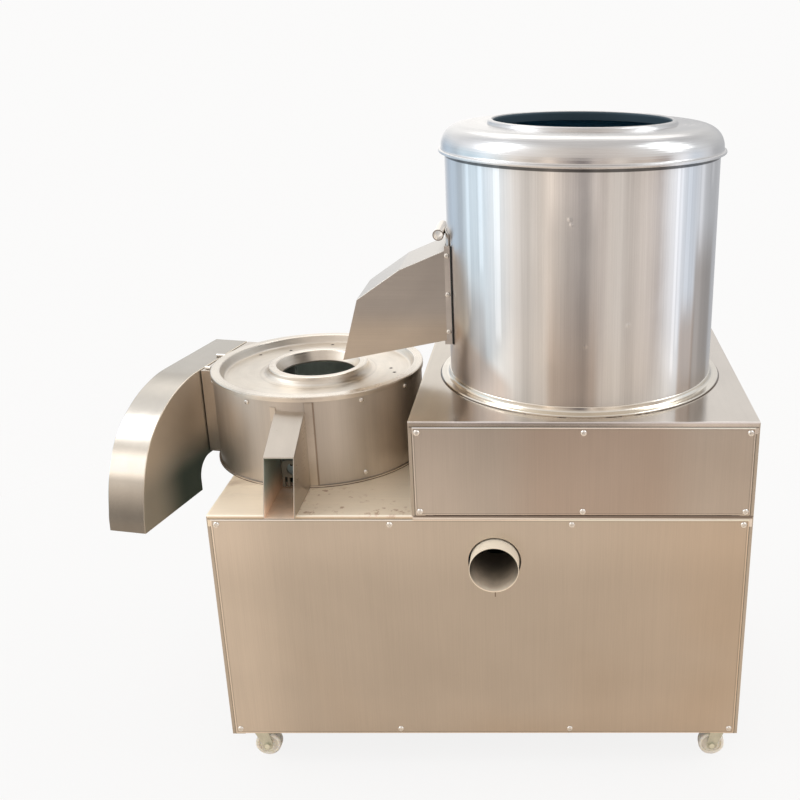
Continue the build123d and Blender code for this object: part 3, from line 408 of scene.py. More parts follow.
def drum_finish(g, col, rr, metal):
    """Drum wall: shadow line under the bead, painted reflections as soft duller, browner and brighter patches and bands
    on its front, painted shade on its inner face.
    """
    s = local(g, R(550, 240, 0))
    line = g.ramp(s[2], 0.8743, 0.8751, 0.0, 1.0, True)
    col = g.scale_colour(col, g.math("MULTIPLY_ADD", line, -0.80, 1.0))
    # painted reflections of the warm deck and the slicer: low on the wall the sheet is painted duller and browner in
    # three soft patches
    front = g.ramp(s[1], 0.0, -0.03, 0.0, 1.0, True)
    edge = g.math("MULTIPLY_ADD", s[0], -0.80, 0.483)
    left = times(g, front, g.ramp(g.math("SUBTRACT", edge, s[2]), -0.012, 0.016, 0.0, 1.0, True), g.ramp(s[0], -0.125, -0.092, 1.0, 0.0, True))
    col = tint(g, col, left, (0.81, 0.71, 0.65))
    streak_reflection = times(g, front, window(g, s[0], -0.166, -0.146, 0.007), g.ramp(s[2], 0.72, 0.66, 0.0, 1.0, True), g.math("SUBTRACT", 1.0, left))
    col = tint(g, col, streak_reflection, (0.78, 0.75, 0.74))
    # painted highlights: narrow vertical bands on the front, brighter above their lower ends
    for mid_x, half, z_end, gain in ((-0.1656, 0.0014, 0.643, 0.22), (-0.1465, 0.0020, 0.714, 0.18), (-0.1226, 0.0034, 0.618, 0.24),
                                     (0.1285, 0.0012, 0.560, 0.15), (0.1345, 0.0010, 0.600, 0.13), (0.1465, 0.0022, 0.650, 0.15),
                                     (0.1677, 0.0014, 0.735, 0.16), (0.1860, 0.0012, 0.830, 0.20)):
        band = times(g, front, window(g, s[0], mid_x - half, mid_x + half, 0.0018), g.ramp(s[2], z_end, z_end + 0.03, 0.0, 1.0, True))
        col = g.scale_colour(col, g.math("MULTIPLY_ADD", band, gain, 1.0))
    right_reflection = times(g, front, window(g, s[0], 0.142, 0.160, 0.006), g.ramp(s[2], 0.71, 0.63, 0.0, 1.0, True))
    col = tint(g, col, right_reflection, (0.80, 0.69, 0.61))
    right_reflection = times(g, front, window(g, s[0], 0.163, 0.190, 0.005), g.ramp(s[2], 0.81, 0.71, 0.0, 1.0, True))
    col = tint(g, col, right_reflection, (0.66, 0.60, 0.55))
    # painted reflections: greyer to the right, darker and browner low in the middle, brighter high in the middle,
    # warmer low across the front
    col = tint(g, col, times(g, front, g.ramp(s[0], 0.105, 0.135, 0.0, 1.0, True)), (0.92, 0.925, 0.935))
    middle_reflection = times(g, front, window(g, s[0], -0.045, 0.010, 0.014))
    col = tint(g, col, g.math("MULTIPLY", middle_reflection, g.ramp(s[2], 0.78, 0.57, 0.0, 1.0, True)), (0.84, 0.77, 0.72))
    col = g.scale_colour(col, g.math("MULTIPLY_ADD", g.math("MULTIPLY", middle_reflection, g.ramp(s[2], 0.78, 0.86, 0.0, 1.0, True)), 0.24, 1.0))
    col = tint(g, col, g.math("MULTIPLY", front, g.ramp(s[2], 0.70, 0.56, 0.0, 1.0, True)), (1.0, 0.975, 0.94))
    n = g.noise(g.coords(), 5.5, 3.0, 0.55, 0.6)
    low = g.ramp(s[2], 0.80, 0.56, 0.0, 1.0, True)
    rr = g.math("MULTIPLY_ADD", times(g, g.ramp(n, 0.50, 0.62, 0.0, 1.0, True), low), 0.07, rr)
    r = g.vmath("LENGTH", g.vec(s[0], s[1], 0.0), out=1)
    # painted shade: the wall's inner face dark blue-grey and less metallic
    inner = g.ramp(r, 0.2068, 0.2074, 1.0, 0.0)
    col = g.mix(inner, col, lin(46, 68, 80))
    return col, rr, g.math("MULTIPLY_ADD", inner, -0.8 * metal, metal)


def dome_finish(g, col, rr, metal):
    """Top ring: painted shade, dull and dark on its underside above the abrasive; darker towards its top, a little
    lighter low down.
    """
    s = local(g, R(550, 240, 0))
    r = g.vmath("LENGTH", g.vec(s[0], s[1], 0.0), out=1)
    n = g.xyz(g.node("ShaderNodeTexCoord").outputs["Normal"])
    inward = g.vmath("DOT_PRODUCT", g.vec(n[0], n[1], 0.0), g.vmath("NORMALIZE", g.vec(s[0], s[1], 0.0)), out=1)
    # painted shade on the underside: dark blue-grey, rougher and less metallic
    under = g.math("MAXIMUM", g.ramp(n[2], -0.10, -0.30, 0.0, 1.0), g.ramp(inward, -0.55, -0.80, 0.0, 1.0))
    under = times(g, under, g.ramp(r, 0.2052, 0.2060, 1.0, 0.0))
    # painted shade: darker towards the top of the ring, a little lighter low down
    col = g.scale_colour(col, g.ramp(s[2], 0.897, 0.912, 1.03, 0.91, True))
    col = g.mix(under, col, lin(46, 68, 80))
    return col, g.math("MULTIPLY_ADD", under, 0.30, rr), g.math("MULTIPLY_ADD", under, -0.8 * metal, metal)


def duct_finish(g, col, rr, metal):
    """Discharge duct: the plate beside the slicer is dull and painted dark below, the outer skin painted darker at its
    mouth and towards its back, with two painted highlight bands across it.
    """
    o = R(-67.6, 245.3, 0)
    s = local(g, o)
    w = g.math("ADD", g.math("MULTIPLY", s[0], -0.9798), g.math("MULTIPLY", s[1], 0.2001))
    a = g.math("ADD", g.math("MULTIPLY", s[0], 0.2001), g.math("MULTIPLY", s[1], 0.9798))
    plate = g.ramp(w, 0.0026, 0.0036, 1.0, 0.0)
    # painted shade and reflection: the plate dark green-grey low down, most towards its back
    dark = times(g, g.ramp(s[2], 0.445, 0.375, 0.0, 1.0, True), g.ramp(a, -0.17, -0.08, 0.45, 1.0, True))
    pc = g.mix(dark, lin(236, 224, 207), lin(72, 86, 77))
    col = g.mix(plate, col, pc)
    skin = g.math("SUBTRACT", 1.0, plate)
    # painted shade: the skin darker low down at its mouth
    mouth = g.ramp(s[2], 0.408, 0.355, 0.0, 1.0, True)
    col = g.scale_colour(col, g.math("MULTIPLY_ADD", times(g, skin, mouth), -0.58, 1.0))
    # painted highlights: two bright bands across the skin
    for z_lo, z_hi, soft, amount in ((0.492, 0.505, 0.018, 0.06), (0.424, 0.440, 0.016, 0.85)):
        highlight_band = times(g, skin, window(g, s[2], z_lo, z_hi, soft))
        col = g.scale_colour(col, g.math("MULTIPLY_ADD", highlight_band, amount, 1.0))
    # painted shade: the skin darker towards its back
    col = g.scale_colour(col, g.math("MULTIPLY_ADD", times(g, skin, g.ramp(a, -0.07, -0.02, 0.0, 1.0, True)), -0.44, 1.0))
    metal = g.math("MULTIPLY_ADD", times(g, plate, dark), -0.25, 1.0)
    rr = g.math("MULTIPLY_ADD", plate, 0.30, rr)
    return col, rr, metal


def pipe_finish(g, col, rr, metal):
    """Drain pipe: a dull film inside, with painted light along its bottom and painted shade along its top and deeper
    in.
    """
    s = local(g, R(420, 0, 309))
    r = g.vmath("LENGTH", g.vec(s[0], 0.0, s[2]), out=1)
    inside = g.ramp(r, 0.0354, 0.0360, 1.0, 0.0)
    n = g.noise(g.coords(), 60.0, 4.0, 0.6)
    # painted light and shade inside: light along the bottom, near black along the top, darker deeper in
    film = g.mix(g.ramp(s[2], -0.032, 0.006, 0.0, 1.0, True), lin(255, 238, 216), lin(6, 20, 16))
    film = g.scale_colour(film, g.ramp(n, 0.3, 0.7, 0.88, 1.12))
    film = g.scale_colour(film, g.ramp(s[1], -0.018, 0.060, 1.0, 0.30, True))
    col = g.mix(inside, col, film)
    return col, g.math("MULTIPLY_ADD", inside, 0.14, rr), g.math("MULTIPLY_ADD", inside, 0.02, 0.04)


def chute_finish(g, col, rr, metal):
    """Strip chute: a dull film on its inner faces, browner along the bottom."""
    s = local(g, R(0, 0, 0))
    roof = g.math("MULTIPLY_ADD", g.math("SUBTRACT", s[1], 0.016), 0.4754, 0.4689)
    inside = times(g, g.ramp(s[0], 0.0878, 0.0884, 0.0, 1.0), g.ramp(s[0], 0.1306, 0.1312, 1.0, 0.0),
                   g.ramp(s[2], 0.3850, 0.3856, 0.0, 1.0), g.math("LESS_THAN", s[2], roof))
    n = g.noise(g.coords(), 50.0, 4.0, 0.6)
    film = g.mix(g.ramp(s[2], 0.390, 0.435, 0.0, 1.0, True), lin(250, 222, 196), lin(160, 168, 156))
    film = g.scale_colour(film, g.ramp(n, 0.3, 0.7, 0.90, 1.10))
    col = g.scale_colour(col, g.math("MULTIPLY_ADD", window(g, s[0], 0.1316, 0.1323, 0.0002), -0.26, 1.0))
    seam = times(g, g.ramp(s[0], 0.1434, 0.1440, 0.0, 1.0, True), g.ramp(s[1], 0.060, 0.062, 0.0, 1.0))
    col = tint(g, col, seam, (0.56, 0.50, 0.47))
    col = g.mix(inside, col, film)
    return col, g.math("MULTIPLY_ADD", inside, 0.26, rr), g.math("MULTIPLY_ADD", inside, -0.70, 1.0)


LID_HOLES = ((141, 146), (139, 92), (126, 124), (141, -123), (118, 4), (127, -6), (143, -20))


def lid_finish(g, col, rr, metal):
    """Slicer lid: painted shade in and round the tapped holes, along the groove and towards its left side, a brighter
    rim and collar.
    """
    s = local(g, R(120, 267, 0))
    flat = g.vec(s[0], s[1], 0.0)
    # painted shade: dark discs over and round the tapped holes, less metallic
    m = None
    for rad, a in LID_HOLES:
        at = (rad / 1000 * math.cos(math.radians(a)), rad / 1000 * math.sin(math.radians(a)), 0.0)
        d = g.vmath("LENGTH", g.vmath("SUBTRACT", flat, at), out=1)
        d = g.ramp(d, 0.0026, 0.0034, 1.0, 0.0, True)
        m = d if m is None else g.math("MAXIMUM", m, d)
    col = g.mix(g.math("MULTIPLY", m, 0.85), col, lin(48, 38, 30))
    r = g.vmath("LENGTH", flat, out=1)
    # painted shade: darker towards its left side
    col = g.scale_colour(col, g.ramp(s[0], -0.03, -0.10, 1.0, 0.80, True))
    raised = g.ramp(s[2], 0.5285, 0.5320, 0.0, 1.0, True)
    col = g.scale_colour(col, g.math("MULTIPLY_ADD", raised, 0.02, 1.0))
    # painted shade along the groove
    groove = window(g, r, 0.0925, 0.0945, 0.0012)
    col = g.scale_colour(col, g.math("MULTIPLY_ADD", groove, -0.10, 1.0))
    return col, g.math("MULTIPLY_ADD", raised, -0.10, rr), g.math("MULTIPLY_ADD", m, -0.8, 1.0)


def hood_finish(g, col, rr, metal):
    """Hood: a painted reflection of the slicer's pale lid, warmer and lighter low down."""
    s = local(g, R(0, 0, 0))
    # painted reflection of the pale lid: warmer and lighter low down
    low = g.ramp(s[2], 0.655, 0.605, 0.0, 1.0, True)
    return tint(g, col, low, (1.26, 1.18, 1.06)), rr, metal


def housing_finish(g, col, rr, metal):
    """Slicer housing: a thin dark line where it stands on the deck, a painted highlight on the base plate's rim with a
    dark joint above it, painted light on its right side and bluish painted light on its inner face.
    """
    s = local(g, R(0, 0, 0))
    line = g.ramp(s[2], 0.3850, 0.3855, 1.0, 0.0, True)
    # painted highlight on the base plate's rim
    rim = window(g, s[2], 0.3857, 0.3868, 0.0003)
    col = g.scale_colour(col, g.math("MULTIPLY_ADD", rim, 0.22, 1.0))
    joint = window(g, s[2], 0.3871, 0.3877, 0.0003)
    col = g.scale_colour(col, g.math("MULTIPLY_ADD", joint, -0.35, 1.0))
    n = g.noise(g.coords(), 22.0, 3.0, 0.6)
    m = times(g, line, g.ramp(n, 0.36, 0.52, 0.25, 1.0, True))
    # painted light: brighter towards its right side
    col = g.scale_colour(col, g.ramp(s[0], 0.210, 0.245, 1.0, 1.40, True))
    c = local(g, R(120, 267, 0))
    # painted light: the inner face brighter and bluish
    inner = g.ramp(g.vmath("LENGTH", g.vec(c[0], c[1], 0.0), out=1), 0.1668, 0.1674, 1.0, 0.0)
    col = tint(g, col, inner, (1.35, 1.60, 1.66))
    return g.mix(g.math("MULTIPLY", m, 0.88), col, lin(74, 54, 38)), rr, metal


def holder_finish(g, col, rr, metal):
    """Knife holder: painted shade inside the guide plate's round window."""
    s = local(g, R(110.5, 87.97, 421.5))
    d = g.vmath("LENGTH", g.vec(s[0], 0.0, s[2]), out=1)
    # painted shade seen through the round window
    m = times(g, g.ramp(d, 0.0096, 0.0100, 1.0, 0.0), g.ramp(s[1], 0.0, 0.00002, 0.0, 1.0))
    return g.scale_colour(col, g.math("MULTIPLY_ADD", m, -0.82, 1.0)), rr, metal


def fork_finish(g, col, rr, metal):
    """Caster forks and plates: a painted highlight on the axle heads in a duller pressing."""
    s = g.xyz(g.coords())
    m = None
    for n in ("caster_wheel_fl", "caster_wheel_fr"):
        a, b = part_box(n)
        at = ((a[0] + b[0]) / 2, 0.0, (a[2] + b[2]) / 2)
        d = g.vmath("LENGTH", g.vmath("SUBTRACT", g.vec(s[0], 0.0, s[2]), at), out=1)
        d = g.ramp(d, 0.0034, 0.0046, 1.0, 0.0, True)
        m = d if m is None else g.math("MAXIMUM", m, d)
    # painted highlight on the axle heads
    return tint(g, col, m, (1.35, 1.35, 1.35)), rr, metal


M = {}
SHEET_ARGS = dict(rough=0.36, grain="z", fine=1300, along=10, band=90, band_along=0.8, band_amount=0.010, grain_amount=0.05,
                  cloud=2.2, cloud_amount=0.075, rough_amount=0.08, bump=0.08)
M["cabinet"] = steel("cabinet_sheet", lin(198, 188, 176), finish=cover_finish(6, 794, 2, 378), **SHEET_ARGS)
M["cabinet_up"] = steel("cabinet_sheet_up", lin(200, 191, 182), finish=cover_finish(306, 794, 385.5, 523), **SHEET_ARGS)
M["side"] = steel("cabinet_side", lin(198, 188, 175), rough=0.38, grain="z", fine=1300, along=10, band=90, band_along=0.8,
                  band_amount=0.012, grain_amount=0.05, cloud=2.6, cloud_amount=0.06, rough_amount=0.08, bump=0.08, finish=side_finish)
M["deck"] = steel("lower_deck_sheet", lin(249, 234, 211), rough=0.46, grain="x", fine=900, along=8, band=50, band_along=2.0,
                  band_amount=0.02, grain_amount=0.04, cloud=6.0, cloud_amount=0.05, rough_amount=0.08, bump=0.06,
                  stain=lin(150, 116, 84), stain_amount=0.35, metal=0.35, finish=deck_finish(384, 378, 0, specks=True))
M["deck_up"] = steel("upper_deck_sheet", lin(214, 206, 197), rough=0.15, grain="y", fine=900, along=8, band=50, band_along=2.0,
                     band_amount=0.02, grain_amount=0.03, cloud=6.0, cloud_amount=0.05, rough_amount=0.06, bump=0.04,
                     finish=deck_finish(531, 523, 300, ring=True))
M["drum"] = steel("drum_sheet", lin(216, 215, 215), rough=0.33, grain="z", centre=DRUM, fine=900, along=5, band=34, band_along=0.25,
                  band_amount=0.13, grain_amount=0.08, cloud=4.0, cloud_amount=0.04, rough_amount=0.06, bump=0.06,
                  aniso=0.9, aniso_rot=0.25, tangent="Z", finish=drum_finish,
                  dents=((R(551, 32, 633), 0.004), (R(528, 33.2, 812), 0.0045), (R(530, 32.9, 805), 0.0035), (R(612, 41.3, 662), 0.005)))
M["dome"] = steel("spun_top", lin(212, 210, 209), rough=0.24, grain="ring", centre=DRUM, fine=700, along=2.0, band=70, band_along=1.0,
                  band_amount=0.04, grain_amount=0.04, cloud=6.0, cloud_amount=0.05, rough_amount=0.07, bump=0.06, finish=dome_finish)
M["flange"] = steel("base_flange", lin(226, 219, 208), rough=0.16, grain="ring", centre=DRUM, fine=700, along=2.0, band=70, band_along=6.0,
                    band_amount=0.03, grain_amount=0.04, cloud=12.0, cloud_amount=0.05, rough_amount=0.06, bump=0.05)
M["lid"] = steel("slicer_lid", lin(226, 217, 205), rough=0.36, grain="ring", centre=SLICER, fine=600, along=1.2, band=90, band_along=2.5,
                 band_amount=0.05, grain_amount=0.05, cloud=16.0, cloud_amount=0.06, rough_amount=0.10, bump=0.08,
                 stain=lin(150, 118, 92), stain_amount=0.25, finish=lid_finish)
M["housing"] = steel("slicer_housing", lin(201, 193, 184), rough=0.43, grain="z", centre=SLICER, fine=700, along=10, band=22, band_along=1.0,
                     band_amount=0.08, grain_amount=0.05, cloud=6.0, cloud_amount=0.05, rough_amount=0.08, bump=0.08, finish=housing_finish)
M["hood"] = steel("hood_sheet", lin(196, 190, 183), rough=0.32, grain="x", fine=900, along=9, band=60, band_along=2.0,
                  band_amount=0.02, grain_amount=0.04, cloud=5.0, cloud_amount=0.05, rough_amount=0.06, bump=0.06, finish=hood_finish)
M["gate"] = steel("gate_sheet", lin(200, 195, 189), rough=0.30, grain="z", fine=900, along=9, band=60, band_along=2.0,
                  band_amount=0.04, grain_amount=0.05, cloud=6.0, cloud_amount=0.06, rough_amount=0.06, bump=0.06)
M["frame_bar"] = steel("outlet_frame", lin(214, 208, 202), rough=0.40, grain="z", fine=900, along=9, band=60, band_along=2.0,
                       band_amount=0.05, grain_amount=0.05, cloud=14.0, cloud_amount=0.10, rough_amount=0.08, bump=0.06)
M["duct"] = steel("duct_sheet", lin(208, 200, 189), rough=0.22, grain="z", fine=900, along=9, band=40, band_along=3.0,
                  band_amount=0.03, grain_amount=0.04, cloud=7.0, cloud_amount=0.06, rough_amount=0.06, bump=0.06, finish=duct_finish)
M["chute"] = steel("chute_sheet", lin(212, 202, 190), rough=0.30, grain="y", fine=900, along=9, band=60, band_along=3.0,
                   band_amount=0.02, grain_amount=0.015, cloud=9.0, cloud_amount=0.05, rough_amount=0.04, bump=0.015, finish=chute_finish)
M["pipe"] = steel("drain_tube", lin(255, 244, 224), rough=0.42, grain="none", fine=300, along=9, band=30, band_along=3.0,
                  band_amount=0.02, grain_amount=0.02, cloud=20.0, cloud_amount=0.02, rough_amount=0.03, bump=0.01, finish=pipe_finish)
# painted shade: the drain elbow and riser, deep inside the pipe, are painted dark green-grey
M["pipe_dull"] = steel("drain_tube_dull", lin(52, 62, 54), rough=0.52, grain="none", fine=300, along=9, band=30, band_along=3.0,
                       band_amount=0.08, grain_amount=0.05, cloud=20.0, cloud_amount=0.12, rough_amount=0.08, bump=0.10, metal=0.45)
M["fork"] = steel("caster_plate", lin(214, 214, 198), rough=0.40, grain="none", fine=700, band=150, band_amount=0.06,
                  grain_amount=0.05, cloud=40.0, cloud_amount=0.12, rough_amount=0.10, bump=0.08, stain=lin(110, 84, 60), stain_amount=0.2, metal=0.7,
                  finish=fork_finish)
M["polished"] = steel("polished_tube", lin(226, 216, 204), rough=0.14, grain="none", fine=300, along=9, band=30, band_along=3.0,
                      band_amount=0.05, grain_amount=0.03, cloud=20.0, cloud_amount=0.06, rough_amount=0.06, bump=0.04)
M["frame"] = steel("frame_tube", lin(178, 174, 168), rough=0.42, grain="z", fine=500, along=9, band=60, band_along=5.0,
                   band_amount=0.06, grain_amount=0.08, cloud=9.0, cloud_amount=0.10, rough_amount=0.10, bump=0.12)
M["screw"] = steel("bright_screw", lin(240, 236, 230), rough=0.26, grain="none", fine=900, band=300, band_amount=0.06,
                   grain_amount=0.05, cloud=60.0, cloud_amount=0.08, rough_amount=0.08, bump=0.05)
M["ground"] = steel("ground_steel", lin(196, 196, 196), rough=0.22, grain="none", fine=900, band=120, band_amount=0.06,
                    grain_amount=0.05, cloud=20.0, cloud_amount=0.06, rough_amount=0.08, bump=0.08)
M["plated"] = steel("plated_steel", lin(206, 204, 196), rough=0.30, grain="none", fine=700, band=150, band_amount=0.06,
                    grain_amount=0.05, cloud=40.0, cloud_amount=0.10, rough_amount=0.10, bump=0.08)
M["cast_al"] = steel("cast_aluminium", lin(176, 184, 180), rough=0.52, grain="none", fine=1600, band=300, band_amount=0.06,
                     grain_amount=0.08, cloud=12.0, cloud_amount=0.10, rough_amount=0.10, bump=0.5, metal=0.40)
M["holder"] = steel("knife_holder", lin(150, 152, 144), rough=0.50, grain="none", fine=1400, band=200, band_amount=0.06,
                    grain_amount=0.08, cloud=18.0, cloud_amount=0.14, rough_amount=0.10, bump=0.3, metal=0.30, finish=holder_finish)
M["iron"] = steel("machined_iron", lin(96, 98, 100), rough=0.48, grain="none", fine=1400, band=200, band_amount=0.08,
                  grain_amount=0.08, cloud=18.0, cloud_amount=0.12, rough_amount=0.10, bump=0.4)
M["rubber"] = plastic("belt_rubber", lin(26, 26, 26), rough=0.7, vary=0.2, grit=0.3)
M["nylon"] = plastic("wheel_nylon", lin(250, 246, 236), rough=0.28, vary=0.04, grit=0.05, sss=0.35)
M["black"] = plastic("black_nylon", lin(28, 28, 30), rough=0.45, vary=0.1, grit=0.15)
M["green"] = plastic("green_cap", lin(24, 140, 62), rough=0.28, vary=0.04, grit=0.04)
M["red"] = plastic("red_cap", lin(196, 26, 22), rough=0.28, vary=0.04, grit=0.04)
M["motor"] = plastic("motor_enamel", lin(60, 84, 108), rough=0.38, vary=0.06, grit=0.35, scale=90)


def emery(name, a, b):
    g = Graph(name)
    v = g.node("ShaderNodeTexVoronoi", feature="F1")
    v.inputs["Scale"].default_value = 420.0
    g.link(g.coords(), v.inputs["Vector"])
    n = g.noise(g.coords(), 260.0, 4.0, 0.7)
    n2 = g.noise(g.coords(), 9.0, 4.0, 0.6)
    f = g.math("MULTIPLY_ADD", g.ramp(n, 0.35, 0.65), 0.6, g.ramp(n2, 0.3, 0.7, 0.0, 0.4))
    col = g.mix(f, a, b)
    h = g.math("ADD", v.outputs["Distance"], g.math("MULTIPLY", n, 0.6))
    nrm = g.bump(h, 0.9, 0.0012)
    p = g.principled(Roughness=g.ramp(n, 0.3, 0.7, 0.55, 0.85), Normal=nrm)
    p.inputs["Specular IOR Level"].default_value = 0.18
    g.put(p.inputs["Base Color"], col)
    return g.mat


M["emery"] = emery("emery_grit", lin(34, 78, 104), lin(58, 126, 156))

ASSIGN = {
    "cabinet": ["lower_front_panel", "lower_back_panel"],
    "cabinet_up": ["upper_front_panel", "upper_back_panel"],
    "side": ["lower_side_left", "lower_side_right", "upper_side_left", "upper_side_right"],
    "deck": ["lower_deck"],
    "deck_up": ["upper_deck"],
    "drum": ["drum_wall", "drum_floor"],
    "dome": ["drum_top_ring"],
    "flange": ["drum_base_flange"],
    "lid": ["slicer_lid"],
    "housing": ["slicer_housing", "slicer_base_plate"],
    "hood": ["chute_hood"],
    "gate": ["discharge_gate"],
    "frame_bar": ["outlet_frame"],
    "duct": ["outlet_duct"],
    "chute": ["strip_chute"],
    "polished": ["gate_handle", "water_inlet"],
    "pipe": ["drain_pipe"],
    "pipe_dull": ["drain_elbow", "drain_riser"],
    "frame": ["frame_tubes", "motor_plate"],
    "screw": ["panel_screws", "small_screws", "duct_pins"],
    "ground": ["disc_shaft", "slicer_shaft", "motor_shaft", "shaft_bearings", "slicing_knife"],
    "cast_al": ["slicer_impeller", "bearing_housings"],
    "holder": ["strip_knife_holder"],
    "plated": ["control_station"],
    "fork": ["caster_plates", "caster_fork_fl", "caster_fork_fr", "caster_fork_bl", "caster_fork_br"],
    "iron": ["disc_pulley", "slicer_pulley", "motor_pulley"],
    "rubber": ["drive_belts"],
    "nylon": ["caster_wheel_fl", "caster_wheel_fr", "caster_wheel_bl", "caster_wheel_br"],
    "black": ["cable_gland"],
    "green": ["start_button"],
    "red": ["stop_button"],
    "motor": ["drive_motor"],
    "emery": ["abrasive_liner", "abrasive_disc"],
}


def set_material(obj, mat):
    obj.data.materials.clear()
    obj.data.materials.append(mat)


for key, names in ASSIGN.items():
    for n in names:
        if n in NODES:
            set_material(NODES[n], M[key])

# --- detail pieces ------------------------------------------------------------------
def piece(name, bm, mat, body, smooth=True):
    me = bpy.data.meshes.new(name)
    bmesh.ops.recalc_face_normals(bm, faces=bm.faces[:])
    bm.to_mesh(me)
    bm.free()
    if smooth:
        for f in me.polygons:
            f.use_smooth = True
    o = bpy.data.objects.new(name, me)
    scene.collection.objects.link(o)
    set_material(o, mat)
    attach(o, body)
    return o


def arc_strip(name, centre, r0, r1, a0, a1, z0, z1, mat, body, steps=6, round_=0.0006):
    """A strip that hugs a drum: ring sector with rounded long edges."""
    bm = bmesh.new()
    prof = []
    for r, z, cr, cz in ((r0, z0, 0, 0), (r1 - round_, z0, 0, 0), (r1, z0 + round_, 0, 0), (r1, z1 - round_, 0, 0), (r1 - round_, z1, 0, 0), (r0, z1, 0, 0)):
        prof.append((r, z))
    rings = []
    for i in range(steps + 1):
        a = a0 + (a1 - a0) * i / steps
        end = i in (0, steps)
        ring = []
        for r, z in prof:
            rr = r - round_ if end and r > r0 + round_ else r
            ring.append(bm.verts.new((centre.x + rr * math.cos(a), centre.y + rr * math.sin(a), z)))
        rings.append(ring)
    n = len(prof)
    for i in range(steps):
        for j in range(n):
            bm.faces.new((rings[i][j], rings[i][(j + 1) % n], rings[i + 1][(j + 1) % n], rings[i + 1][j]))
    bm.faces.new(rings[0][::-1])
    bm.faces.new(rings[-1])
    return piece(name, bm, mat, body, smooth=False)


MACHINE = "machine"
# painted shade: a thin black strip on the drum along each side edge of the outlet frame stands for the shadow in the
# gap there
gap_shadow_z0, gap_shadow_z1 = R(0, 0, 593).z, R(0, 0, 746).z
for name_, edge, way in (("outlet_gap_shadow_front", -64.2, -1), ("outlet_gap_shadow_back", 66.2, 1)):
    a_edge = math.pi - math.asin(edge / 208.2)
    a_far = math.pi - math.asin((edge + way * 4.6) / 208.2)
    arc_strip(name_, DRUM, 0.20805, 0.2096, a_edge, a_far, gap_shadow_z0, gap_shadow_z1, M["rubber"], MACHINE)



def guide_plate(name, mat, body):
    """Small casting bolted to the front of the strip knife holder: a plate with a round window and two feet."""
    bm = bmesh.new()
    cx, cz, n = 110.5, 421.5, 48
    loops = []
    for r_kind, y in (("in0", 87.95), ("in1", 84.6), ("in2", 84.0), ("out2", 84.0), ("out1", 84.6), ("out0", 87.95)):
        ring = []
        for i in range(n):
            t = 2 * math.pi * i / n
            c, q = math.cos(t), math.sin(t)
            if r_kind.startswith("in"):
                r = 9.4 + (0.6 if r_kind == "in2" else 0.0)
                x, z = cx + r * c, cz + r * q
            else:
                k = (abs(c) ** 5 + abs(q) ** 5) ** (-1 / 5)
                m_ = 0.6 if r_kind == "out2" else 0.0
                x, z = cx + (17.0 - m_) * k * c, cz + (14.5 - m_) * k * q
            ring.append(bm.verts.new(R(x, y, z)))
        loops.append(ring)
    for a, b in zip(loops, loops[1:] + loops[:1]):
        for i in range(n):
            j = (i + 1) % n
            bm.faces.new((a[i], a[j], b[j], b[i]))
    for x0, x1, x2, x3 in ((93.6, 97.4, 93.0, 98.2), (101.2, 104.6, 100.6, 105.4)):
        prof = ((x0, x1, 409.5), (x0, x1, 396.2), (x2, x3, 395.0), (x2, x3, 392.6), (x0, x1, 392.0))
        rows = [[bm.verts.new(R(x, y, z)) for x, y in ((a, 84.4), (b, 84.4), (b, 87.6), (a, 87.6))] for a, b, z in prof]
        for a, b in zip(rows, rows[1:]):
            for i in range(4):
                j = (i + 1) % 4
                bm.faces.new((a[i], a[j], b[j], b[i]))
        bm.faces.new(rows[0])
        bm.faces.new(rows[-1][::-1])
    return piece(name, bm, mat, body, smooth=False)


guide_plate("strip_guide_plate", M["holder"], MACHINE)

# --- floor, light -------------------------------------------------------------------
def floor_material():
    """Pale floor that fades out at its rim; what the steel mirrors of it is a warm workshop floor."""
    g = Graph("floor")
    n = g.noise(g.coords(), 2.0, 3.0, 0.5)
    k = g.math("MULTIPLY_ADD", g.ramp(n, 0.3, 0.7, -1.0, 1.0), 0.012, 1.0)
    lp = g.node("ShaderNodeLightPath")
    pale = g.scale_colour((0.90, 0.895, 0.89), k)
    s_ = g.xyz(g.coords())
    seen = g.mix(g.ramp(s_[1], 0.30, 0.75, 0.0, 1.0, True), (0.80, 0.69, 0.58), (0.30, 0.28, 0.26))
    col = g.mix(lp.outputs["Is Camera Ray"], seen, pale)
    dif = g.node("ShaderNodeBsdfDiffuse")
    g.link(col, dif.inputs["Color"])
    glow = g.node("ShaderNodeEmission")
    glow.inputs["Color"].default_value = (0.955, 0.95, 0.945, 1.0)
    lit = g.node("ShaderNodeMixShader")
    g.link(g.math("MULTIPLY", lp.outputs["Is Camera Ray"], 0.90), lit.inputs[0])
    g.link(dif.outputs[0], lit.inputs[1])
    g.link(glow.outputs[0], lit.inputs[2])
    clear = g.node("ShaderNodeBsdfTransparent")
    r = g.vmath("LENGTH", g.vec(s_[0], s_[1], 0.0), out=1)
    fade = g.ramp(r, 1.1, 2.1, 0.0, 1.0, True)
    mixs = g.node("ShaderNodeMixShader")
    g.link(fade, mixs.inputs[0])
    g.link(lit.outputs[0], mixs.inputs[1])
    g.link(clear.outputs[0], mixs.inputs[2])
    g.link(mixs.outputs[0], g.out.inputs[0])
    return g.mat


bm = bmesh.new()
bmesh.ops.create_circle(bm, cap_ends=True, segments=96, radius=2.15)
me = bpy.data.meshes.new("floor")
bm.to_mesh(me)
bm.free()
floor = bpy.data.objects.new("floor", me)
scene.collection.objects.link(floor)
set_material(floor, floor_material())

world = bpy.data.worlds.new("studio")
scene.world = world
world.use_nodes = True
wt = world.node_tree
wt.nodes.clear()


def wnode(kind, **props):
    n = wt.nodes.new(kind)
    for k, v in props.items():
        setattr(n, k, v)
    return n


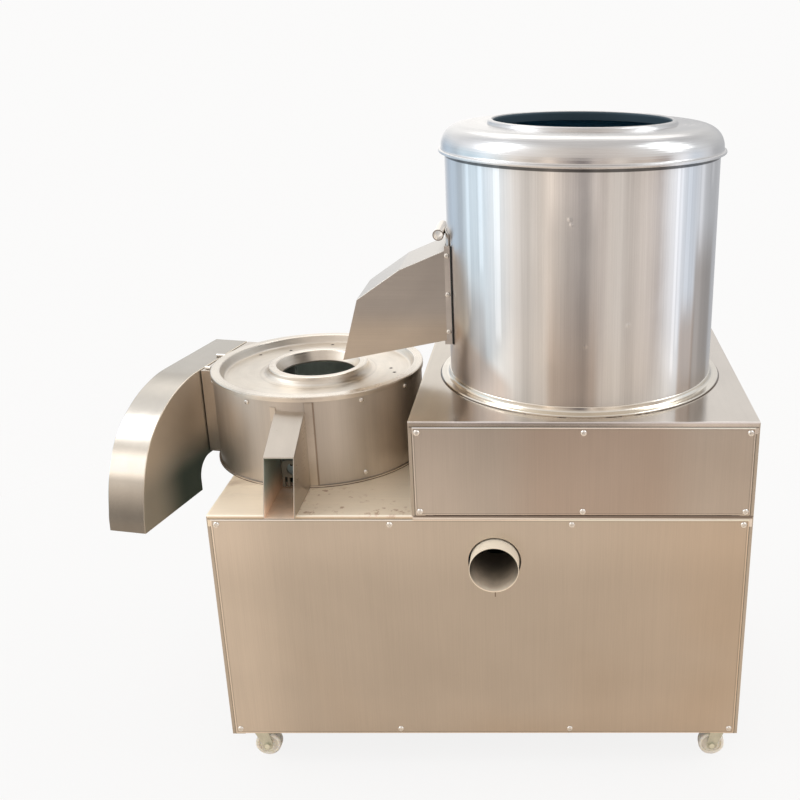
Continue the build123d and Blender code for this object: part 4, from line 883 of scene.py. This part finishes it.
w_tc = wnode("ShaderNodeTexCoord")
w_sep = wnode("ShaderNodeSeparateXYZ")
wt.links.new(w_tc.outputs["Generated"], w_sep.inputs[0])
w_neg = wnode("ShaderNodeMath", operation="MULTIPLY")
wt.links.new(w_sep.outputs[1], w_neg.inputs[0])
w_neg.inputs[1].default_value = -1.0
w_at = wnode("ShaderNodeMath", operation="ARCTAN2")
wt.links.new(w_sep.outputs[0], w_at.inputs[0])
wt.links.new(w_neg.outputs[0], w_at.inputs[1])
w_ma = wnode("ShaderNodeMath", operation="MULTIPLY_ADD")
wt.links.new(w_at.outputs[0], w_ma.inputs[0])
w_ma.inputs[1].default_value = 1.0 / (2.0 * math.pi)
w_ma.inputs[2].default_value = 0.5
# studio round the machine, by bearing in degrees: 0 is the operator's side, + to the right
BEARINGS = [
    (-180, (1.60, 1.56, 1.50)), (-165, (1.10, 1.10, 1.10)), (-150, (0.46, 0.54, 0.64)), (-136, (0.72, 0.88, 1.04)),
    (-122, (0.50, 0.58, 0.66)), (-112, (0.94, 1.14, 1.28)), (-98, (0.66, 0.84, 0.96)), (-92, (0.94, 1.16, 1.32)),
    (-87, (0.86, 1.06, 1.20)), (-83, (1.34, 1.52, 1.66)), (-76, (0.88, 1.00, 1.08)), (-68, (0.92, 0.96, 0.96)),
    (-56, (1.14, 1.04, 0.94)), (-42, (0.70, 0.63, 0.56)), (-33, (0.76, 0.67, 0.58)), (-28, (1.66, 1.42, 1.20)),
    (-22, (0.78, 0.68, 0.60)), (-9, (0.40, 0.35, 0.33)), (-2, (0.09, 0.08, 0.09)), (4, (0.20, 0.18, 0.19)),
    (9, (1.16, 1.04, 0.94)), (15, (0.34, 0.28, 0.26)), (22, (1.02, 0.92, 0.82)), (30, (1.02, 0.94, 0.86)),
    (37, (0.64, 0.56, 0.50)), (52, (0.88, 0.77, 0.68)), (67, (0.34, 0.27, 0.24)), (76, (1.14, 1.14, 1.16)),
    (84, (1.34, 1.36, 1.42)), (98, (0.82, 0.92, 1.04)), (114, (0.94, 0.96, 1.00)), (128, (0.58, 0.59, 0.61))]
w_ramp = wnode("ShaderNodeValToRGB")
cr = w_ramp.color_ramp
cr.interpolation = "LINEAR"
while len(cr.elements) > 1:
    cr.elements.remove(cr.elements[-1])
for i_, (deg, c_) in enumerate(BEARINGS):
    e_ = cr.elements[0] if i_ == 0 else cr.elements.new(deg / 360.0 + 0.5)
    e_.position = deg / 360.0 + 0.5
    e_.color = (*c_, 1.0)
wt.links.new(w_ma.outputs[0], w_ramp.inputs[0])
HIGH = [
    (-180, (0.96, 0.95, 0.94)), (-160, (1.34, 1.34, 1.32)), (-130, (0.98, 1.00, 1.03)), (-90, (1.30, 1.34, 1.40)), (-55, (1.10, 1.08, 1.06)),
    (-28, (0.90, 0.84, 0.78)), (0, (0.72, 0.67, 0.63)), (28, (0.84, 0.78, 0.73)), (55, (0.94, 0.92, 0.90)),
    (90, (0.92, 0.95, 0.99)), (130, (0.80, 0.81, 0.82)), (180, (0.96, 0.95, 0.94))]
w_high = wnode("ShaderNodeValToRGB")
ch = w_high.color_ramp
ch.interpolation = "LINEAR"
while len(ch.elements) > 1:
    ch.elements.remove(ch.elements[-1])
for i_, (deg, c_) in enumerate(HIGH):
    e_ = ch.elements[0] if i_ == 0 else ch.elements.new(deg / 360.0 + 0.5)
    e_.position = deg / 360.0 + 0.5
    e_.color = (*c_, 1.0)
wt.links.new(w_ma.outputs[0], w_high.inputs[0])
w_el = wnode("ShaderNodeMapRange", clamp=True, interpolation_type="SMOOTHSTEP")
wt.links.new(w_sep.outputs[2], w_el.inputs["Value"])
w_el.inputs["From Min"].default_value = -0.05
w_el.inputs["From Max"].default_value = 0.38
w_mid = wnode("ShaderNodeMix", data_type="RGBA")
wt.links.new(w_el.outputs[0], w_mid.inputs[0])
wt.links.new(w_ramp.outputs[0], w_mid.inputs[6])
wt.links.new(w_high.outputs[0], w_mid.inputs[7])
w_zen = wnode("ShaderNodeMapRange", clamp=True, interpolation_type="SMOOTHSTEP")
wt.links.new(w_sep.outputs[2], w_zen.inputs["Value"])
w_zen.inputs["From Min"].default_value = 0.80
w_zen.inputs["From Max"].default_value = 0.99
w_top = wnode("ShaderNodeMix", data_type="RGBA")
wt.links.new(w_zen.outputs[0], w_top.inputs[0])
wt.links.new(w_mid.outputs[2], w_top.inputs[6])
w_top.inputs[7].default_value = (0.83, 0.815, 0.80, 1.0)
w_lp = wnode("ShaderNodeLightPath")
w_cam = wnode("ShaderNodeMix", data_type="RGBA")
wt.links.new(w_lp.outputs["Is Camera Ray"], w_cam.inputs[0])
wt.links.new(w_top.outputs[2], w_cam.inputs[6])
w_cam.inputs[7].default_value = (0.965, 0.96, 0.955, 1.0)
w_bg = wnode("ShaderNodeBackground")
wt.links.new(w_cam.outputs[2], w_bg.inputs[0])
w_bg.inputs[1].default_value = 1.0
w_out = wnode("ShaderNodeOutputWorld")
wt.links.new(w_bg.outputs[0], w_out.inputs[0])


def area(name, at, target, size, size_y, power, colour):
    d = bpy.data.lights.new(name, "AREA")
    d.shape = "RECTANGLE"
    d.size, d.size_y = size, size_y
    d.energy = power
    d.color = colour
    o = bpy.data.objects.new(name, d)
    scene.collection.objects.link(o)
    o.location = at
    o.rotation_mode = "QUATERNION"
    o.rotation_quaternion = (Vector(target) - Vector(at)).to_track_quat("-Z", "Y")
    return o


area("softbox_left", (-2.2, -0.4, 2.6), (0.1, 0.0, 0.4), 1.2, 1.8, 16, (0.95, 0.98, 1.0))
area("softbox_right", (2.3, -0.2, 2.6), (0.2, 0.0, 0.4), 1.2, 1.8, 14, (0.95, 0.98, 1.0))
area("softbox_back", (0.2, 1.6, 2.8), (0.1, 0.0, 0.4), 2.4, 1.2, 9, (1.0, 0.98, 0.95))
